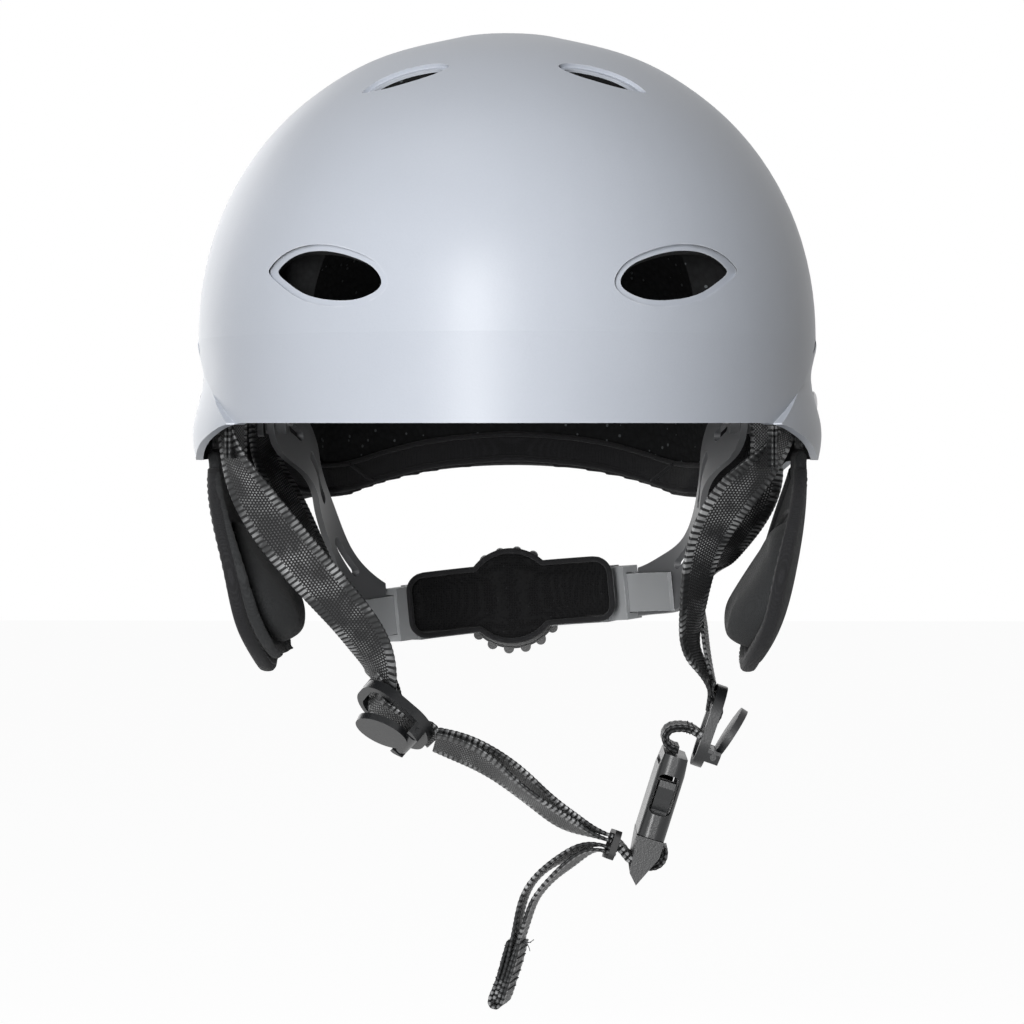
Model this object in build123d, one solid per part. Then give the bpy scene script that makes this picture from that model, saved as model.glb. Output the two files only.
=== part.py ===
from build123d import *
import math
import os

# Helmet with foam liner, head band with a size dial, ear flaps and a webbing chin harness.
# Millimetres. Origin: middle of the head cavity at the level of the brow edge.
# The front of the helmet faces -Y, +X is the wearer's left side seen from the front, +Z is up.

# ---- shared clearances
seat_gap = 0.3
running_gap = 0.06
overrun = 14.0

# ---- outer shell
shell_half_width = 112.7
shell_front_length = 138.0
shell_rear_length = 145.0
widest_level = 30.0
shell_rise = 111.0
shell_wall = 2.6
skirt_depth = 32.0
crown_power = 2.1
crown_steps = 8
# level share, then width, front and rear shares of the dome's own sizes at that level
brow_skirt_shares = [(1.0, 1.0, 1.0, 1.0), (0.0, 0.988, 0.988, 0.99), (-1.6, 0.985, 0.985, 0.985)]
side_skirt_shares = [
    (1.0, 1.0, 1.0, 1.0),
    (0.75, 0.993, 0.993, 0.998),
    (0.5, 0.9855, 0.986, 0.993),
    (0.2, 1.003, 0.99, 0.99),
    (-0.13, 1.0195, 1.0, 0.989),
    (-0.47, 1.008, 1.0, 0.987),
    (-1.6, 0.98, 0.98, 0.975),
]
# side view, forward share of the front length and height share of the skirt depth
crease_shares = [(-0.545, -1.5), (-0.545, 0.0), (-0.52, 0.05), (-0.33, 0.45), (-0.14, 0.9)]
hem_shares = [
    (-0.57, 0.0),
    (-0.5, -0.05),
    (-0.36, -0.2),
    (-0.22, -0.36),
    (-0.14, -0.42),
    (0.13, -0.42),
    (0.3, -0.46),
    (0.5, -0.8),
    (0.57, -0.98),
    (0.66, -0.95),
    (0.79, -0.82),
    (0.93, -0.6),
    (1.05, -0.42),
]

# ---- vents: hole half length, half width, lip past the hole
vent_half_length = 18.3
vent_half_height = 8.0
vent_x = 57.4
vent_z = 49.0
vent_tilt = 8.3
top_vent_half_length = 13.0
top_vent_half_height = 4.6
top_vent_x = 33.5
top_vent_z = 119.6
rear_vent_x = 27.0
rear_vent_z = 62.0
rear_top_vent_x = 36.0
rear_top_vent_z = 118.0
vent_lip = 2.0
vent_scoop = 3.4
vent_recess = 1.5
vent_reach = 34.0
vent_outline_shares = [
    (-1.0, 0.02),
    (-0.76, 0.6),
    (-0.2, 1.0),
    (0.45, 0.86),
    (0.9, 0.38),
    (1.0, -0.05),
    (0.8, -0.6),
    (0.25, -0.98),
    (-0.42, -0.88),
    (-0.84, -0.42),
]

# ---- foam liner and its bound rim
liner_thickness = 17.0
rim_height = 6.0
liner_hem_shares = [
    (-1.1, 0.14),
    (-0.52, 0.14),
    (-0.42, 0.5),
    (0.32, 0.5),
    (0.42, 0.1),
    (0.5, -0.6),
    (0.56, -0.92),
    (0.615, -0.9),
    (0.675, -0.82),
    (0.765, -0.68),
    (0.851, -0.552),
    (1.1, -0.2),
]

# ---- comfort pads inside the liner
pad_thickness = 7.0
pad_draft = 24.0
brow_pad_width = 118.0
brow_pad_height = 26.0
brow_pad_level = 27.0
crown_pad_size = 84.0
side_pad_length = 74.0
side_pad_height = 40.0
side_pad_level = 62.0
nape_pad_width = 96.0
nape_pad_height = 30.0
nape_pad_level = 34.0
pad_corner = 9.0

# ---- side rivets and ear flap tabs
rivet_level = 7.0
rivet_stem_radius = 2.2
rivet_head_radius = 4.6
rivet_head_height = 1.6
rivet_recess_radius = 6.2
rivet_boss_radius = 7.0
washer_radius = 5.0
washer_thickness = 1.0
tab_thickness = 1.8
tab_half_length = 14.0
tab_top_level = 14.0
tab_plane = 108.2

# ---- ear flaps
flap_hinge_x = 107.25
flap_hinge_z = -12.0
flap_panel_thickness = 4.3
flap_drop = 76.0
flap_bend_centre = 30.0
flap_bend_angle = 18.0
flap_lean = 2.5
flap_tongue_half = 14.0
flap_half_length = 39.0
# drop share of the flap and inward share of the flap drop
flap_outer_shares = [(0.0, 0.0), (0.24, 0.01), (0.54, 0.066), (0.83, 0.16), (0.99, 0.266)]
flap_outline_shares = [
    (-0.36, 0.06),
    (-0.78, 0.26),
    (-0.97, 0.52),
    (-0.84, 0.8),
    (-0.42, 0.98),
    (0.03, 1.03),
    (0.46, 0.99),
    (0.93, 0.8),
    (1.05, 0.52),
    (0.82, 0.24),
    (0.36, 0.06),
]
# inward share, centre drop share, half drop share, half length share of the cushion's crown
cushion_section_shares = [
    (-0.03, 0.615, 0.35, 0.86),
    (0.17, 0.665, 0.285, 0.8),
    (0.31, 0.72, 0.2, 0.62),
    (0.4, 0.75, 0.1, 0.34),
]

# ---- head band arms (yoke)
yoke_radius = 75.0
yoke_centre_y = 43.0
yoke_flare_x = 88.0
yoke_front_y = -12.0
arm_thickness = 2.4
arm_reach = 108.0
arm_drop = 84.0
arm_eye_y = 2.0
arm_eye_z = 4.0
arm_boss_radius = 8.0
arm_boss_height = 7.6
anchor_pin_radius = 3.0
anchor_head_radius = 5.2
anchor_head_height = 1.8
anchor_plate_thickness = 2.2
anchor_plate_half_length = 9.0
anchor_plate_top = 36.0
anchor_plate_bottom = -5.0
slot_width = 3.6
# reach share back from the origin and drop share, upper edge then lower edge
arm_left_shares = [
    (-0.06, 0.06),
    (0.08, 0.14),
    (0.24, 0.01),
    (0.46, -0.2),
    (0.63, -0.4),
    (0.74, -0.59),
    (0.85, -0.725),
    (0.99, -0.82),
    (1.06, -0.84),
    (1.06, -1.04),
    (0.97, -1.015),
    (0.85, -0.96),
    (0.76, -0.865),
    (0.65, -0.67),
    (0.54, -0.5),
    (0.38, -0.345),
    (0.2, -0.215),
    (0.0, -0.1),
]
arm_right_shares = [
    (-0.06, 0.06),
    (0.08, 0.14),
    (0.24, 0.01),
    (0.42, -0.2),
    (0.56, -0.42),
    (0.67, -0.545),
    (0.8, -0.63),
    (0.93, -0.7),
    (1.06, -0.735),
    (1.06, -0.95),
    (0.93, -0.925),
    (0.8, -0.895),
    (0.67, -0.85),
    (0.575, -0.72),
    (0.49, -0.5),
    (0.38, -0.355),
    (0.2, -0.22),
    (0.0, -0.1),
]
# slots as start and end, reach share and drop share
arm_left_slot_shares = [
    ((0.11, -0.02), (0.18, -0.06)),
    ((0.27, -0.15), (0.51, -0.35)),
    ((0.64, -0.55), (0.76, -0.7)),
]
arm_right_slot_shares = [
    ((0.11, -0.02), (0.18, -0.06)),
    ((0.27, -0.15), (0.47, -0.37)),
    ((0.59, -0.56), (0.7, -0.66)),
]

# ---- cradle, bands and size dial, in the cradle's own frame
cradle_level = -72.0
cradle_roll = 5.5
cradle_half_angle = 34.0
cradle_half_height = 11.0
cradle_plate = 3.2
sleeve_angle = 41.5
sleeve_half_height = 10.6
sleeve_inset = 1.4
band_thickness = 1.6
band_half_height = 7.6
band_outer_angle = 62.0
band_shoulder_angle = 37.0
band_tip_angle = 7.0
arm_tail_angle = 24.0
arm_tail_overlap = 44.0
channel_gap = 0.45
tooth_module = 1.0
tooth_count = 10
tooth_backlash = 0.5
tooth_height_share = 0.8
tooth_tip_share = 0.26
shaft_radius = 3.0
dial_radius = 19.6
dial_lug_radius = 2.1
dial_lug_count = 18
dial_thickness = 9.0
dial_edge = 1.0
dial_dish_radius = 11.5
dial_dish_depth = 2.2
dial_screw_radius = 3.6
dial_screw_height = 1.6
cradle_pad_half_width = 41.0
cradle_pad_half_height = 13.2
cradle_pad_disc = 19.2
cradle_pad_corner = 6.0
cradle_pad_thickness = 7.0
cradle_pad_lift = 2.9
cradle_pad_draft = 16.0

# ---- webbing
webbing_width = 18.0
webbing_thickness = 1.4
strap_drop = 100.0
chin_ply_gap = 0.4

# ---- divider clips
divider_length = 31.0
divider_width = 26.0
divider_thickness = 3.8
divider_rail = 3.2
divider_corner = 11.0
divider_bar = 3.0
lever_length = 20.5
lever_thickness = 2.6
lever_open = 14.0
lever_pin_radius = 1.2
lever_knuckle_radius = 2.5
lever_ear = 2.4
divider_left_place_shares = (-0.364, -0.058, -1.07)
divider_right_place_shares = (0.657, -0.036, -1.11)
divider_left_turn = 60.0
divider_left_slope = 40.5
divider_right_slope = 109.0

# ---- side-release buckle
buckle_half_width = 17.0
buckle_thickness = 10.4
buckle_length = 31.0
buckle_wall = 1.9
buckle_mouth_half = 13.4
buckle_cavity_length = 25.0
buckle_bar = 3.2
buckle_top_thickness = 8.8
buckle_taper_length = 7.0
buckle_place_shares = (0.464, -0.036, -1.505)
buckle_lean = 17.4
prong_pivot_x = 9.0
prong_pivot_u = -3.0
prong_pin_radius = 1.3
prong_knuckle_radius = 2.6
prong_length = 22.0
prong_thickness = 4.4
prong_inner_x = 8.4
prong_pad_thickness = 7.6
# length share of the prong and protrusion share of the buckle's half width
prong_pad_shares = [(0.26, 0.765), (0.46, 0.79), (0.66, 0.865), (0.86, 0.955), (0.97, 0.94)]
window_start = 9.0
window_end = 23.5
guide_half_width = 2.2
guide_length = 20.0
male_base_length = 18.0
male_bar = 3.4
male_rail = 2.6

# through the buckle's ladder: share of its thickness and share of the male base length
ladder_loop_shares = [
    (-1.05, -0.38),
    (-0.74, -0.48),
    (-0.4, -0.6),
    (0.0, -0.63),
    (0.4, -0.6),
    (0.64, -0.47),
    (0.68, -0.31),
    (0.61, -0.18),
]

# ---- keeper ring, in its own frame
keeper_bore_height = 8.0
keeper_shift = 1.9
keeper_wall = 1.5
keeper_length = 2.4

# strap routes: x share of the shell's half width, y share of the shell's front length,
# z share of the strap drop, then the direction that the webbing's width follows
left_front_route_shares = [
    ((-0.898, -0.28, 0.13), (0.25, -1.0, 0.0)),
    ((-0.878, -0.3, -0.06), (0.4, -0.9, 0.1)),
    ((-0.772, -0.29, -0.31), (0.72, -0.4, 0.55)),
    ((-0.544, -0.2, -0.64), (0.7, -0.35, 0.6)),
    ((-0.434, -0.12, -0.83), (0.6, -0.65, 0.45)),
    ((-0.413, -0.075, -0.93), (0.4, -0.85, 0.36)),
    ((-0.414, -0.052, -0.965), (0.3247, -0.866, 0.3802)),
]
left_rear_route_shares = [
    ((-0.852, 0.33, 0.1), (0.2, 1.0, 0.0)),
    ((-0.84, 0.32, -0.06), (0.4, 0.9, 0.0)),
    ((-0.76, 0.258, -0.26), (0.44, 0.82, 0.2)),
    ((-0.675, 0.198, -0.42), (0.28, 0.9, 0.2)),
    ((-0.56, 0.1, -0.66), (0.2, 1.0, 0.2)),
    ((-0.44, 0.02, -0.87), (-0.2, 1.0, -0.1)),
    ((-0.39, -0.01, -0.98), (-0.35, 0.85, -0.35)),
    ((-0.3627, -0.0606, -1.0604), (-0.3247, 0.866, -0.3802)),
]
right_front_route_shares = [
    ((0.905, -0.28, 0.13), (-0.25, -1.0, 0.0)),
    ((0.88, -0.285, -0.04), (-0.5, -1.0, 0.0)),
    ((0.74, -0.26, -0.24), (-0.9, -0.45, 0.2)),
    ((0.63, -0.2, -0.47), (-0.75, -0.65, 0.0)),
    ((0.6, -0.14, -0.68), (-0.5, -0.85, 0.0)),
    ((0.613, -0.08, -0.85), (-0.3, -0.95, 0.0)),
    ((0.662, -0.05, -0.975), (-0.1, -1.0, 0.0)),
    ((0.655, -0.038, -1.02), (0.0, -1.0, 0.0)),
]
right_rear_route_shares = [
    ((0.852, 0.33, 0.1), (-0.2, 1.0, 0.0)),
    ((0.862, 0.335, -0.05), (-0.4, 0.9, 0.0)),
    ((0.86, 0.34, -0.2), (-0.8, 0.6, 0.0)),
    ((0.82, 0.32, -0.34), (-0.75, 0.65, 0.1)),
    ((0.72, 0.24, -0.5), (-0.35, 0.92, 0.2)),
    ((0.652, 0.135, -0.61), (0.0, 1.0, 0.2)),
    ((0.645, 0.06, -0.73), (0.1, 1.0, 0.1)),
    ((0.665, 0.0, -0.87), (0.1, 1.0, 0.0)),
    ((0.7, -0.03, -0.937), (0.05, 1.0, 0.0)),
]
chin_route_shares = [
    ((-0.2325, -0.058, -1.16), (0.3247, -0.866, 0.3802)),
    ((-0.13, -0.058, -1.2), (0.264, -0.8, 0.54)),
    ((0.02, -0.055, -1.3), (0.28, -0.87, 0.41)),
    ((0.11, -0.052, -1.385), (0.28, -0.89, 0.35)),
    ((0.2, -0.045, -1.46), (0.22, -0.91, 0.36)),
    ((0.285, -0.04, -1.505), (0.03, -0.99, 0.18)),
    ((0.335, -0.038, -1.525), (0.0, -1.0, 0.12)),
]
buckle_strap_route_shares = [
    ((0.63, -0.036, -1.145), (0.0, 1.0, 0.0)),
    ((0.601, -0.036, -1.122), (0.0, 1.0, 0.0)),
    ((0.5525, -0.036, -1.113), (0.0, 1.0, 0.0)),
    ((0.5235, -0.036, -1.124), (0.0, 1.0, 0.0)),
    ((0.5133, -0.036, -1.154), (0.0, 1.0, 0.0)),
    ((0.5295, -0.036, -1.182), (0.0, 1.0, 0.0)),
    ((0.5559, -0.036, -1.193), (0.0, 1.0, 0.0)),
]
tail_route_shares = [
    ((0.35, -0.04, -1.576), (0.0, -1.0, 0.12)),
    ((0.305, -0.0415, -1.56), (0.0, -1.0, 0.15)),
    ((0.255, -0.045, -1.567), (-0.1, -0.93, 0.33)),
    ((0.2, -0.05, -1.6), (-0.266, -0.866, 0.42)),
    ((0.145, -0.052, -1.645), (-0.29, -0.91, 0.3)),
    ((0.08, -0.052, -1.73), (-0.305, -0.94, 0.17)),
    ((0.048, -0.05, -1.84), (-0.316, -0.944, 0.095)),
    ((0.027, -0.048, -1.93), (-0.335, -0.937, 0.1)),
    ((0.002, -0.046, -2.03), (-0.335, -0.937, 0.1)),
    ((-0.026, -0.044, -2.12), (-0.335, -0.937, 0.1)),
]


def half_profile(offset):
    """Half outline of the crown in the XZ plane, pulled in by the offset."""
    radius = shell_half_width - offset
    rise = shell_rise - offset
    points = [Vector(radius, 0, widest_level)]
    for step in range(1, crown_steps):
        angle = math.radians(90 * step / crown_steps)
        across = radius * math.cos(angle) ** (2 / crown_power)
        up = rise * math.sin(angle) ** (2 / crown_power)
        points.append(Vector(across, 0, widest_level + up))
    apex = Vector(0, 0, widest_level + rise)
    centre = Vector(0, 0, widest_level)
    curve = Spline(*points, apex, tangents=[(0, 0, 1), (-1, 0, 0)])
    return make_face(Curve() + [curve, Line(apex, centre), Line(centre, points[0])])


def skirt(offset, skirt_shares):
    """Wall below the widest level, through one egg-shaped section per row."""
    radius = shell_half_width - offset
    sections = []
    for level_share, width_share, front_share, rear_share in skirt_shares:
        across = radius * width_share
        front = EllipticalCenterArc(
            (0, 0), across, (shell_front_length - offset) * front_share, 180, arc_size=180
        )
        rear = EllipticalCenterArc(
            (0, 0), across, (shell_rear_length - offset) * rear_share, 0, arc_size=180
        )
        sections.append(Pos(0, 0, widest_level * level_share) * make_face(Curve() + [front, rear]))
    return loft(sections)


def dome(offset, skirt_shares=brow_skirt_shares):
    """Solid dome, longer at the back than at the front."""
    radius = shell_half_width - offset
    rear = revolve(half_profile(offset), Axis.Z, 180)
    front = mirror(rear, Plane.XZ)
    rear = scale(rear, by=(1, (shell_rear_length - offset) / radius, 1))
    front = scale(front, by=(1, (shell_front_length - offset) / radius, 1))
    return rear + front + skirt(offset, skirt_shares)


def side_point(forward_share, level_share):
    """Point of the side view in the YZ plane."""
    length = shell_front_length if forward_share < 0 else shell_rear_length
    return Vector(0, length * forward_share, skirt_depth * level_share)


def region_across(points):
    """Prism across the helmet over a closed outline of the side view."""
    face = make_face(Polyline(*points, points[0]))
    return extrude(face, shell_half_width + overrun, dir=(1, 0, 0), both=True)


def above(shares, lift=0):
    """Everything above a lower edge given in the side view."""
    low = [side_point(*share) + Vector(0, 0, lift) for share in shares]
    front = -(shell_front_length + overrun)
    back = shell_rear_length + overrun
    top = widest_level + shell_rise + overrun
    corners = [
        Vector(0, back, low[-1].Z),
        Vector(0, back, top),
        Vector(0, front, top),
        Vector(0, front, low[0].Z),
    ]
    return region_across(low + corners)


def brow_region():
    """The brow part of the shell, in front of and above the side crease."""
    edge = [side_point(*share) for share in crease_shares]
    front = -(shell_front_length + overrun)
    top = widest_level + shell_rise + overrun
    corners = [
        Vector(0, edge[-1].Y, top),
        Vector(0, front, top),
        Vector(0, front, edge[0].Z),
    ]
    return region_across(edge + corners)


def shell_form(offset):
    """Dome with a proud brow and a set-back side wall that flares at its tabs."""
    brow = brow_region()
    return (dome(offset) & brow) + (dome(offset, side_skirt_shares) - brow)


def surface_point(x, z, length):
    """Point of the outer dome at a given x and z."""
    up = (z - widest_level) / shell_rise
    ring = (1 - up**crown_power) ** (1 / crown_power)
    across = x / (shell_half_width * ring)
    return Vector(x, length * ring * math.sqrt(1 - across**2), z)


def vent_frame(x, z, length, straight):
    """Plane of a vent, its x axis pointing to the middle of the helmet."""
    point = surface_point(abs(x), z, abs(length))
    ahead = -1 if length < 0 else 1
    origin = Vector(x, ahead * point.Y, z)
    if straight:
        normal = Vector(0, ahead, 0)
    else:
        normal = Vector(
            origin.X / shell_half_width**2,
            origin.Y / length**2,
            (z - widest_level) / shell_rise**2,
        )
    inward = Vector(-math.copysign(1, x), 0, 0)
    inward = inward - normal * (inward.dot(normal) / normal.dot(normal))
    return Plane(origin=origin, x_dir=inward, z_dir=normal)


def vent_outline(half_length, half_height, past, scoop, flip):
    """Closed leaf outline with its pointed end away from the middle of the helmet."""
    points = []
    for along, across in vent_outline_shares:
        stretch = half_length + (scoop if along < 0 else past)
        points.append(Vector(stretch * along, flip * (half_height + past) * across, 0))
    return make_face(Spline(*points, periodic=True))


vent_list = [
    (vent_x, vent_z, -shell_front_length, True, vent_half_length, vent_half_height, vent_tilt),
    (top_vent_x, top_vent_z, -shell_front_length, False, top_vent_half_length, top_vent_half_height, 0),
    (rear_vent_x, rear_vent_z, shell_rear_length, True, vent_half_length, vent_half_height, vent_tilt),
    (rear_top_vent_x, rear_top_vent_z, shell_rear_length, False, top_vent_half_length, top_vent_half_height, 0),
]


def vent_cutters(past, scoop):
    """Vent plugs on both sides, grown past the holes by the given lip."""
    plugs = []
    for x, z, length, straight, half_length, half_height, tilt in vent_list:
        for side in (-1, 1):
            frame = vent_frame(side * x, z, length, straight)
            up = 1 if frame.y_dir.Z > 0 else -1
            outline = vent_outline(half_length, half_height, past, scoop, up)
            outline = Rot(0, 0, -up * tilt) * outline
            plugs.append(frame * extrude(outline, vent_reach, both=True))
    return plugs


def outer_shell():
    outer_form = shell_form(0)
    body = (outer_form - shell_form(shell_wall)) & above(hem_shares)
    sunk = dome(vent_recess)
    for lip in vent_cutters(vent_lip, vent_scoop):
        body = body - (lip - sunk)
    for plug in vent_cutters(0, 0):
        body = body - plug
    for side in (-1, 1):
        boss_length = shell_half_width - tab_plane
        boss = Cylinder(rivet_boss_radius, boss_length)
        boss = Pos(side * (tab_plane + boss_length / 2), 0, rivet_level) * (Rot(0, 90, 0) * boss)
        body = body + (boss & outer_form)
        drill = Rot(0, 90, 0) * Cylinder(rivet_stem_radius + running_gap, overrun)
        body = body - Pos(side * (tab_plane + overrun / 2), 0, rivet_level) * drill
        face_x = shell_half_width - vent_recess / 2
        sink = Rot(0, 90, 0) * Cylinder(rivet_recess_radius, overrun)
        body = body - Pos(side * (face_x + overrun / 2), 0, rivet_level) * sink
    return body


def liner_ring():
    """Foam between the shell and the head cavity, before its lower edge is cut."""
    outer = shell_form(shell_wall + seat_gap)
    inner = dome(shell_wall + seat_gap + liner_thickness)
    return outer - inner


def foam_liner(ring):
    body = ring & above(liner_hem_shares, rim_height)
    for plug in vent_cutters(0, 0):
        body = body - plug
    return body


def liner_rim(ring):
    return (ring & above(liner_hem_shares)) - above(liner_hem_shares, rim_height)


def pad_layer():
    outer_offset = shell_wall + seat_gap + liner_thickness + seat_gap
    return dome(outer_offset) - dome(outer_offset + pad_thickness)


def wall_pad(layer, frame, width, height):
    """Pad on the liner's inner face, its sides drawn in towards the head."""
    outline = RectangleRounded(width, height, pad_corner)
    plug = extrude(outline, 2 * liner_thickness + pad_thickness + overrun, taper=pad_draft)
    return layer & (frame * plug)


def comfort_pads():
    layer = pad_layer()
    liner_offset = shell_wall + seat_gap + liner_thickness
    front = shell_front_length - liner_offset
    back = shell_rear_length - liner_offset
    side = shell_half_width - liner_offset
    top = widest_level + shell_rise - liner_offset
    reach = liner_thickness
    pads = {}
    plane = Plane(origin=(0, -front - reach / 2, brow_pad_level), x_dir=(1, 0, 0), z_dir=(0, 1, 0))
    pads["brow_pad"] = wall_pad(layer, plane, brow_pad_width, brow_pad_height)
    plane = Plane(origin=(0, back + reach / 2, nape_pad_level), x_dir=(1, 0, 0), z_dir=(0, -1, 0))
    pads["nape_pad"] = wall_pad(layer, plane, nape_pad_width, nape_pad_height)
    plane = Plane(origin=(0, 0, top + reach / 2), x_dir=(1, 0, 0), z_dir=(0, 0, -1))
    pads["crown_pad"] = wall_pad(layer, plane, crown_pad_size, crown_pad_size)
    for name, sign in (("side_pad_left", -1), ("side_pad_right", 1)):
        place = (sign * (side + reach / 2), 0, side_pad_level)
        plane = Plane(origin=place, x_dir=(0, 1, 0), z_dir=(-sign, 0, 0))
        pads[name] = wall_pad(layer, plane, side_pad_length, side_pad_height)
    return pads


def side_rivets():
    """Domed rivets through the side tabs, one on each side."""
    rivets = []
    head_base = shell_half_width - vent_recess / 2 + seat_gap
    inner_end = tab_plane - tab_thickness - washer_thickness - rivet_head_height
    for side in (-1, 1):
        stem = Cylinder(rivet_stem_radius, head_base - inner_end)
        stem = Pos((head_base + inner_end) / 2, 0, rivet_level) * (Rot(0, 90, 0) * stem)
        dome_cap = Sphere(rivet_head_radius) & Box(
            2 * rivet_head_radius,
            2 * rivet_head_radius,
            2 * rivet_head_radius,
            align=(Align.MIN, Align.CENTER, Align.CENTER),
        )
        dome_cap = scale(dome_cap, by=(rivet_head_height / rivet_head_radius, 1, 1))
        outer = Pos(head_base, 0, rivet_level) * dome_cap
        inner = Pos(inner_end + rivet_head_height, 0, rivet_level) * mirror(dome_cap, Plane.YZ)
        rivet = stem + outer + inner
        rivets.append(rivet if side > 0 else mirror(rivet, Plane.YZ))
    return Compound(children=[rivet.solid() for rivet in rivets])


def rivet_washers():
    rings = []
    centre_x = tab_plane - tab_thickness - washer_thickness / 2
    for side in (-1, 1):
        ring = Cylinder(washer_radius, washer_thickness)
        ring = ring - Cylinder(rivet_stem_radius + running_gap, 2 * washer_thickness)
        rings.append(Pos(side * centre_x, 0, rivet_level) * (Rot(0, 90, 0) * ring))
    return Compound(children=[ring.solid() for ring in rings])


def flap_tab(side):
    """Stiff webbing tab that carries an ear flap from the side rivet."""
    bottom = flap_hinge_z + flap_panel_thickness / 2 + seat_gap
    height = tab_top_level - bottom
    plate = Box(tab_thickness, 2 * tab_half_length, height)
    plate = fillet(plate.edges().filter_by(Axis.X), tab_half_length / 3)
    plate = Pos(tab_plane - tab_thickness / 2, 0, bottom + height / 2) * plate
    drill = Rot(0, 90, 0) * Cylinder(rivet_stem_radius + running_gap, overrun)
    plate = plate - Pos(tab_plane, 0, rivet_level) * drill
    return plate if side > 0 else mirror(plate, Plane.YZ)


def flap_curve(inset):
    """Outer or inner line of a right-hand flap in the XZ plane."""
    points = []
    half = flap_panel_thickness / 2
    for drop_share, inward_share in flap_outer_shares:
        x = flap_hinge_x + half - inset - flap_drop * inward_share
        z = flap_hinge_z - flap_drop * drop_share
        points.append(Vector(x, 0, z + inset * inward_share))
    return points


def bent_flap(outer_points, inner_points):
    """Flap section swept round the side of the head."""
    outer = Spline(*outer_points)
    inner = Spline(*inner_points)
    ends = [Line(outer_points[0], inner_points[0]), Line(outer_points[-1], inner_points[-1])]
    face = make_face(Curve() + [outer, inner] + ends)
    bend = Axis((-flap_bend_centre, 0, 0), (0, 0, 1))
    start = face.rotate(bend, -flap_bend_angle)
    return revolve(start, bend, 2 * flap_bend_angle)


def flap_outline():
    points = []
    for along, drop in flap_outline_shares:
        points.append(Vector(0, flap_half_length * along, flap_hinge_z - flap_drop * drop))
    top = flap_hinge_z
    first = Vector(0, points[0].Y, top)
    last = Vector(0, points[-1].Y, top)
    curve = Spline(*points)
    face = make_face(Curve() + [curve, Line(first, points[0]), Line(points[-1], last), Line(last, first)])
    return extrude(face, flap_hinge_x + overrun, dir=(1, 0, 0))


def lean_flap(shape, side):
    """Turns a right-hand flap to its rest lean, and mirrors it for the left."""
    lean = flap_lean if side > 0 else -flap_lean
    axis = Axis((flap_hinge_x, 0, flap_hinge_z), (0, -1, 0))
    shape = shape.rotate(axis, lean)
    return shape if side > 0 else mirror(shape, Plane.YZ)


def ear_panel(side):
    plate = bent_flap(flap_curve(0), flap_curve(flap_panel_thickness))
    plate = plate & flap_outline()
    roll = Rot(90, 0, 0) * Cylinder(flap_panel_thickness / 2, 2 * flap_tongue_half)
    return lean_flap(plate + Pos(flap_hinge_x, 0, flap_hinge_z) * roll, side)


def ear_cushion(side):
    sections = []
    for inward, centre, half_drop, half_length in cushion_section_shares:
        x = flap_hinge_x - flap_drop * inward
        z = flap_hinge_z - flap_drop * centre
        plane = Plane(origin=(x, flap_half_length / 12, z), x_dir=(0, 1, 0), z_dir=(-1, 0, 0))
        sections.append(plane * Ellipse(flap_half_length * half_length, flap_drop * half_drop))
    crown = loft(sections)
    inner = flap_curve(flap_panel_thickness + seat_gap)
    far = [point + Vector(overrun + flap_drop / 2, 0, 0) for point in inner]
    above_hinge = Vector(0, 0, flap_drop / 4)
    below_tip = Vector(-flap_drop / 4, 0, -flap_drop / 4)
    inner = [inner[0] + above_hinge] + inner + [inner[-1] + below_tip]
    far = [far[0] + above_hinge] + far + [far[-1] + below_tip]
    return lean_flap(crown - bent_flap(far, inner), side)


def plan_outline(inset, front):
    """Plan of the head band, round at the back and flared to the side pins."""
    radius = yoke_radius - inset
    flare = yoke_flare_x - inset
    left = Vector(-radius, yoke_centre_y, 0)
    right = Vector(radius, yoke_centre_y, 0)
    rear = Vector(0, yoke_centre_y + radius, 0)
    left_front = Vector(-flare, yoke_front_y, 0)
    right_front = Vector(flare, yoke_front_y, 0)
    left_end = Vector(-flare, front, 0)
    right_end = Vector(flare, front, 0)
    left_side = Spline(left_front, left, tangents=[(0, 1), (0, 1)])
    right_side = Spline(right, right_front, tangents=[(0, -1), (0, -1)])
    back = ThreePointArc(left, rear, right)
    ends = [Line(right_front, right_end), Line(right_end, left_end), Line(left_end, left_front)]
    return make_face(Curve() + [left_side, back, right_side] + ends)


def band_wall():
    """Upright wall that the arms are cut from."""
    height = arm_drop + overrun
    outer = extrude(plan_outline(0, yoke_front_y - arm_thickness), height, both=True)
    inner = extrude(plan_outline(arm_thickness, yoke_front_y - overrun), 2 * height, both=True)
    return outer - inner


def side_slot(start, end, width, side):
    """Round-ended slot across the arm, given in the side view."""
    first = Vector(0, arm_reach * start[0], arm_drop * start[1])
    second = Vector(0, arm_reach * end[0], arm_drop * end[1])
    along = second - first
    plane = Plane(origin=(first + second) / 2, x_dir=along, z_dir=(side, 0, 0))
    return plane * extrude(SlotCenterToCenter(along.length, width), yoke_flare_x + overrun)


def to_cradle(shape):
    """Places a shape built about the cradle's own centre of curvature."""
    return Pos(0, yoke_centre_y, cradle_level) * (Rot(0, -cradle_roll, 0) * shape)


def arc_block(inner_radius, outer_radius, low, high, start_angle, end_angle):
    """Block bent round the cradle's axis; angles run from straight back towards the right."""
    section = Pos((inner_radius + outer_radius) / 2, 0, (low + high) / 2) * (
        Plane.XZ * Rectangle(outer_radius - inner_radius, high - low)
    )
    section = section.rotate(Axis.Z, 90 - end_angle)
    return revolve(section, Axis.Z, end_angle - start_angle)


def arm_inner_radius():
    return yoke_radius - arm_thickness


def band_radii():
    outer = arm_inner_radius() - channel_gap
    return outer - band_thickness, outer


def arm_tail_radii():
    """The arm's tail in the cradle's tilted frame, kept within the arm's wall."""
    return arm_inner_radius(), yoke_radius


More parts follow.
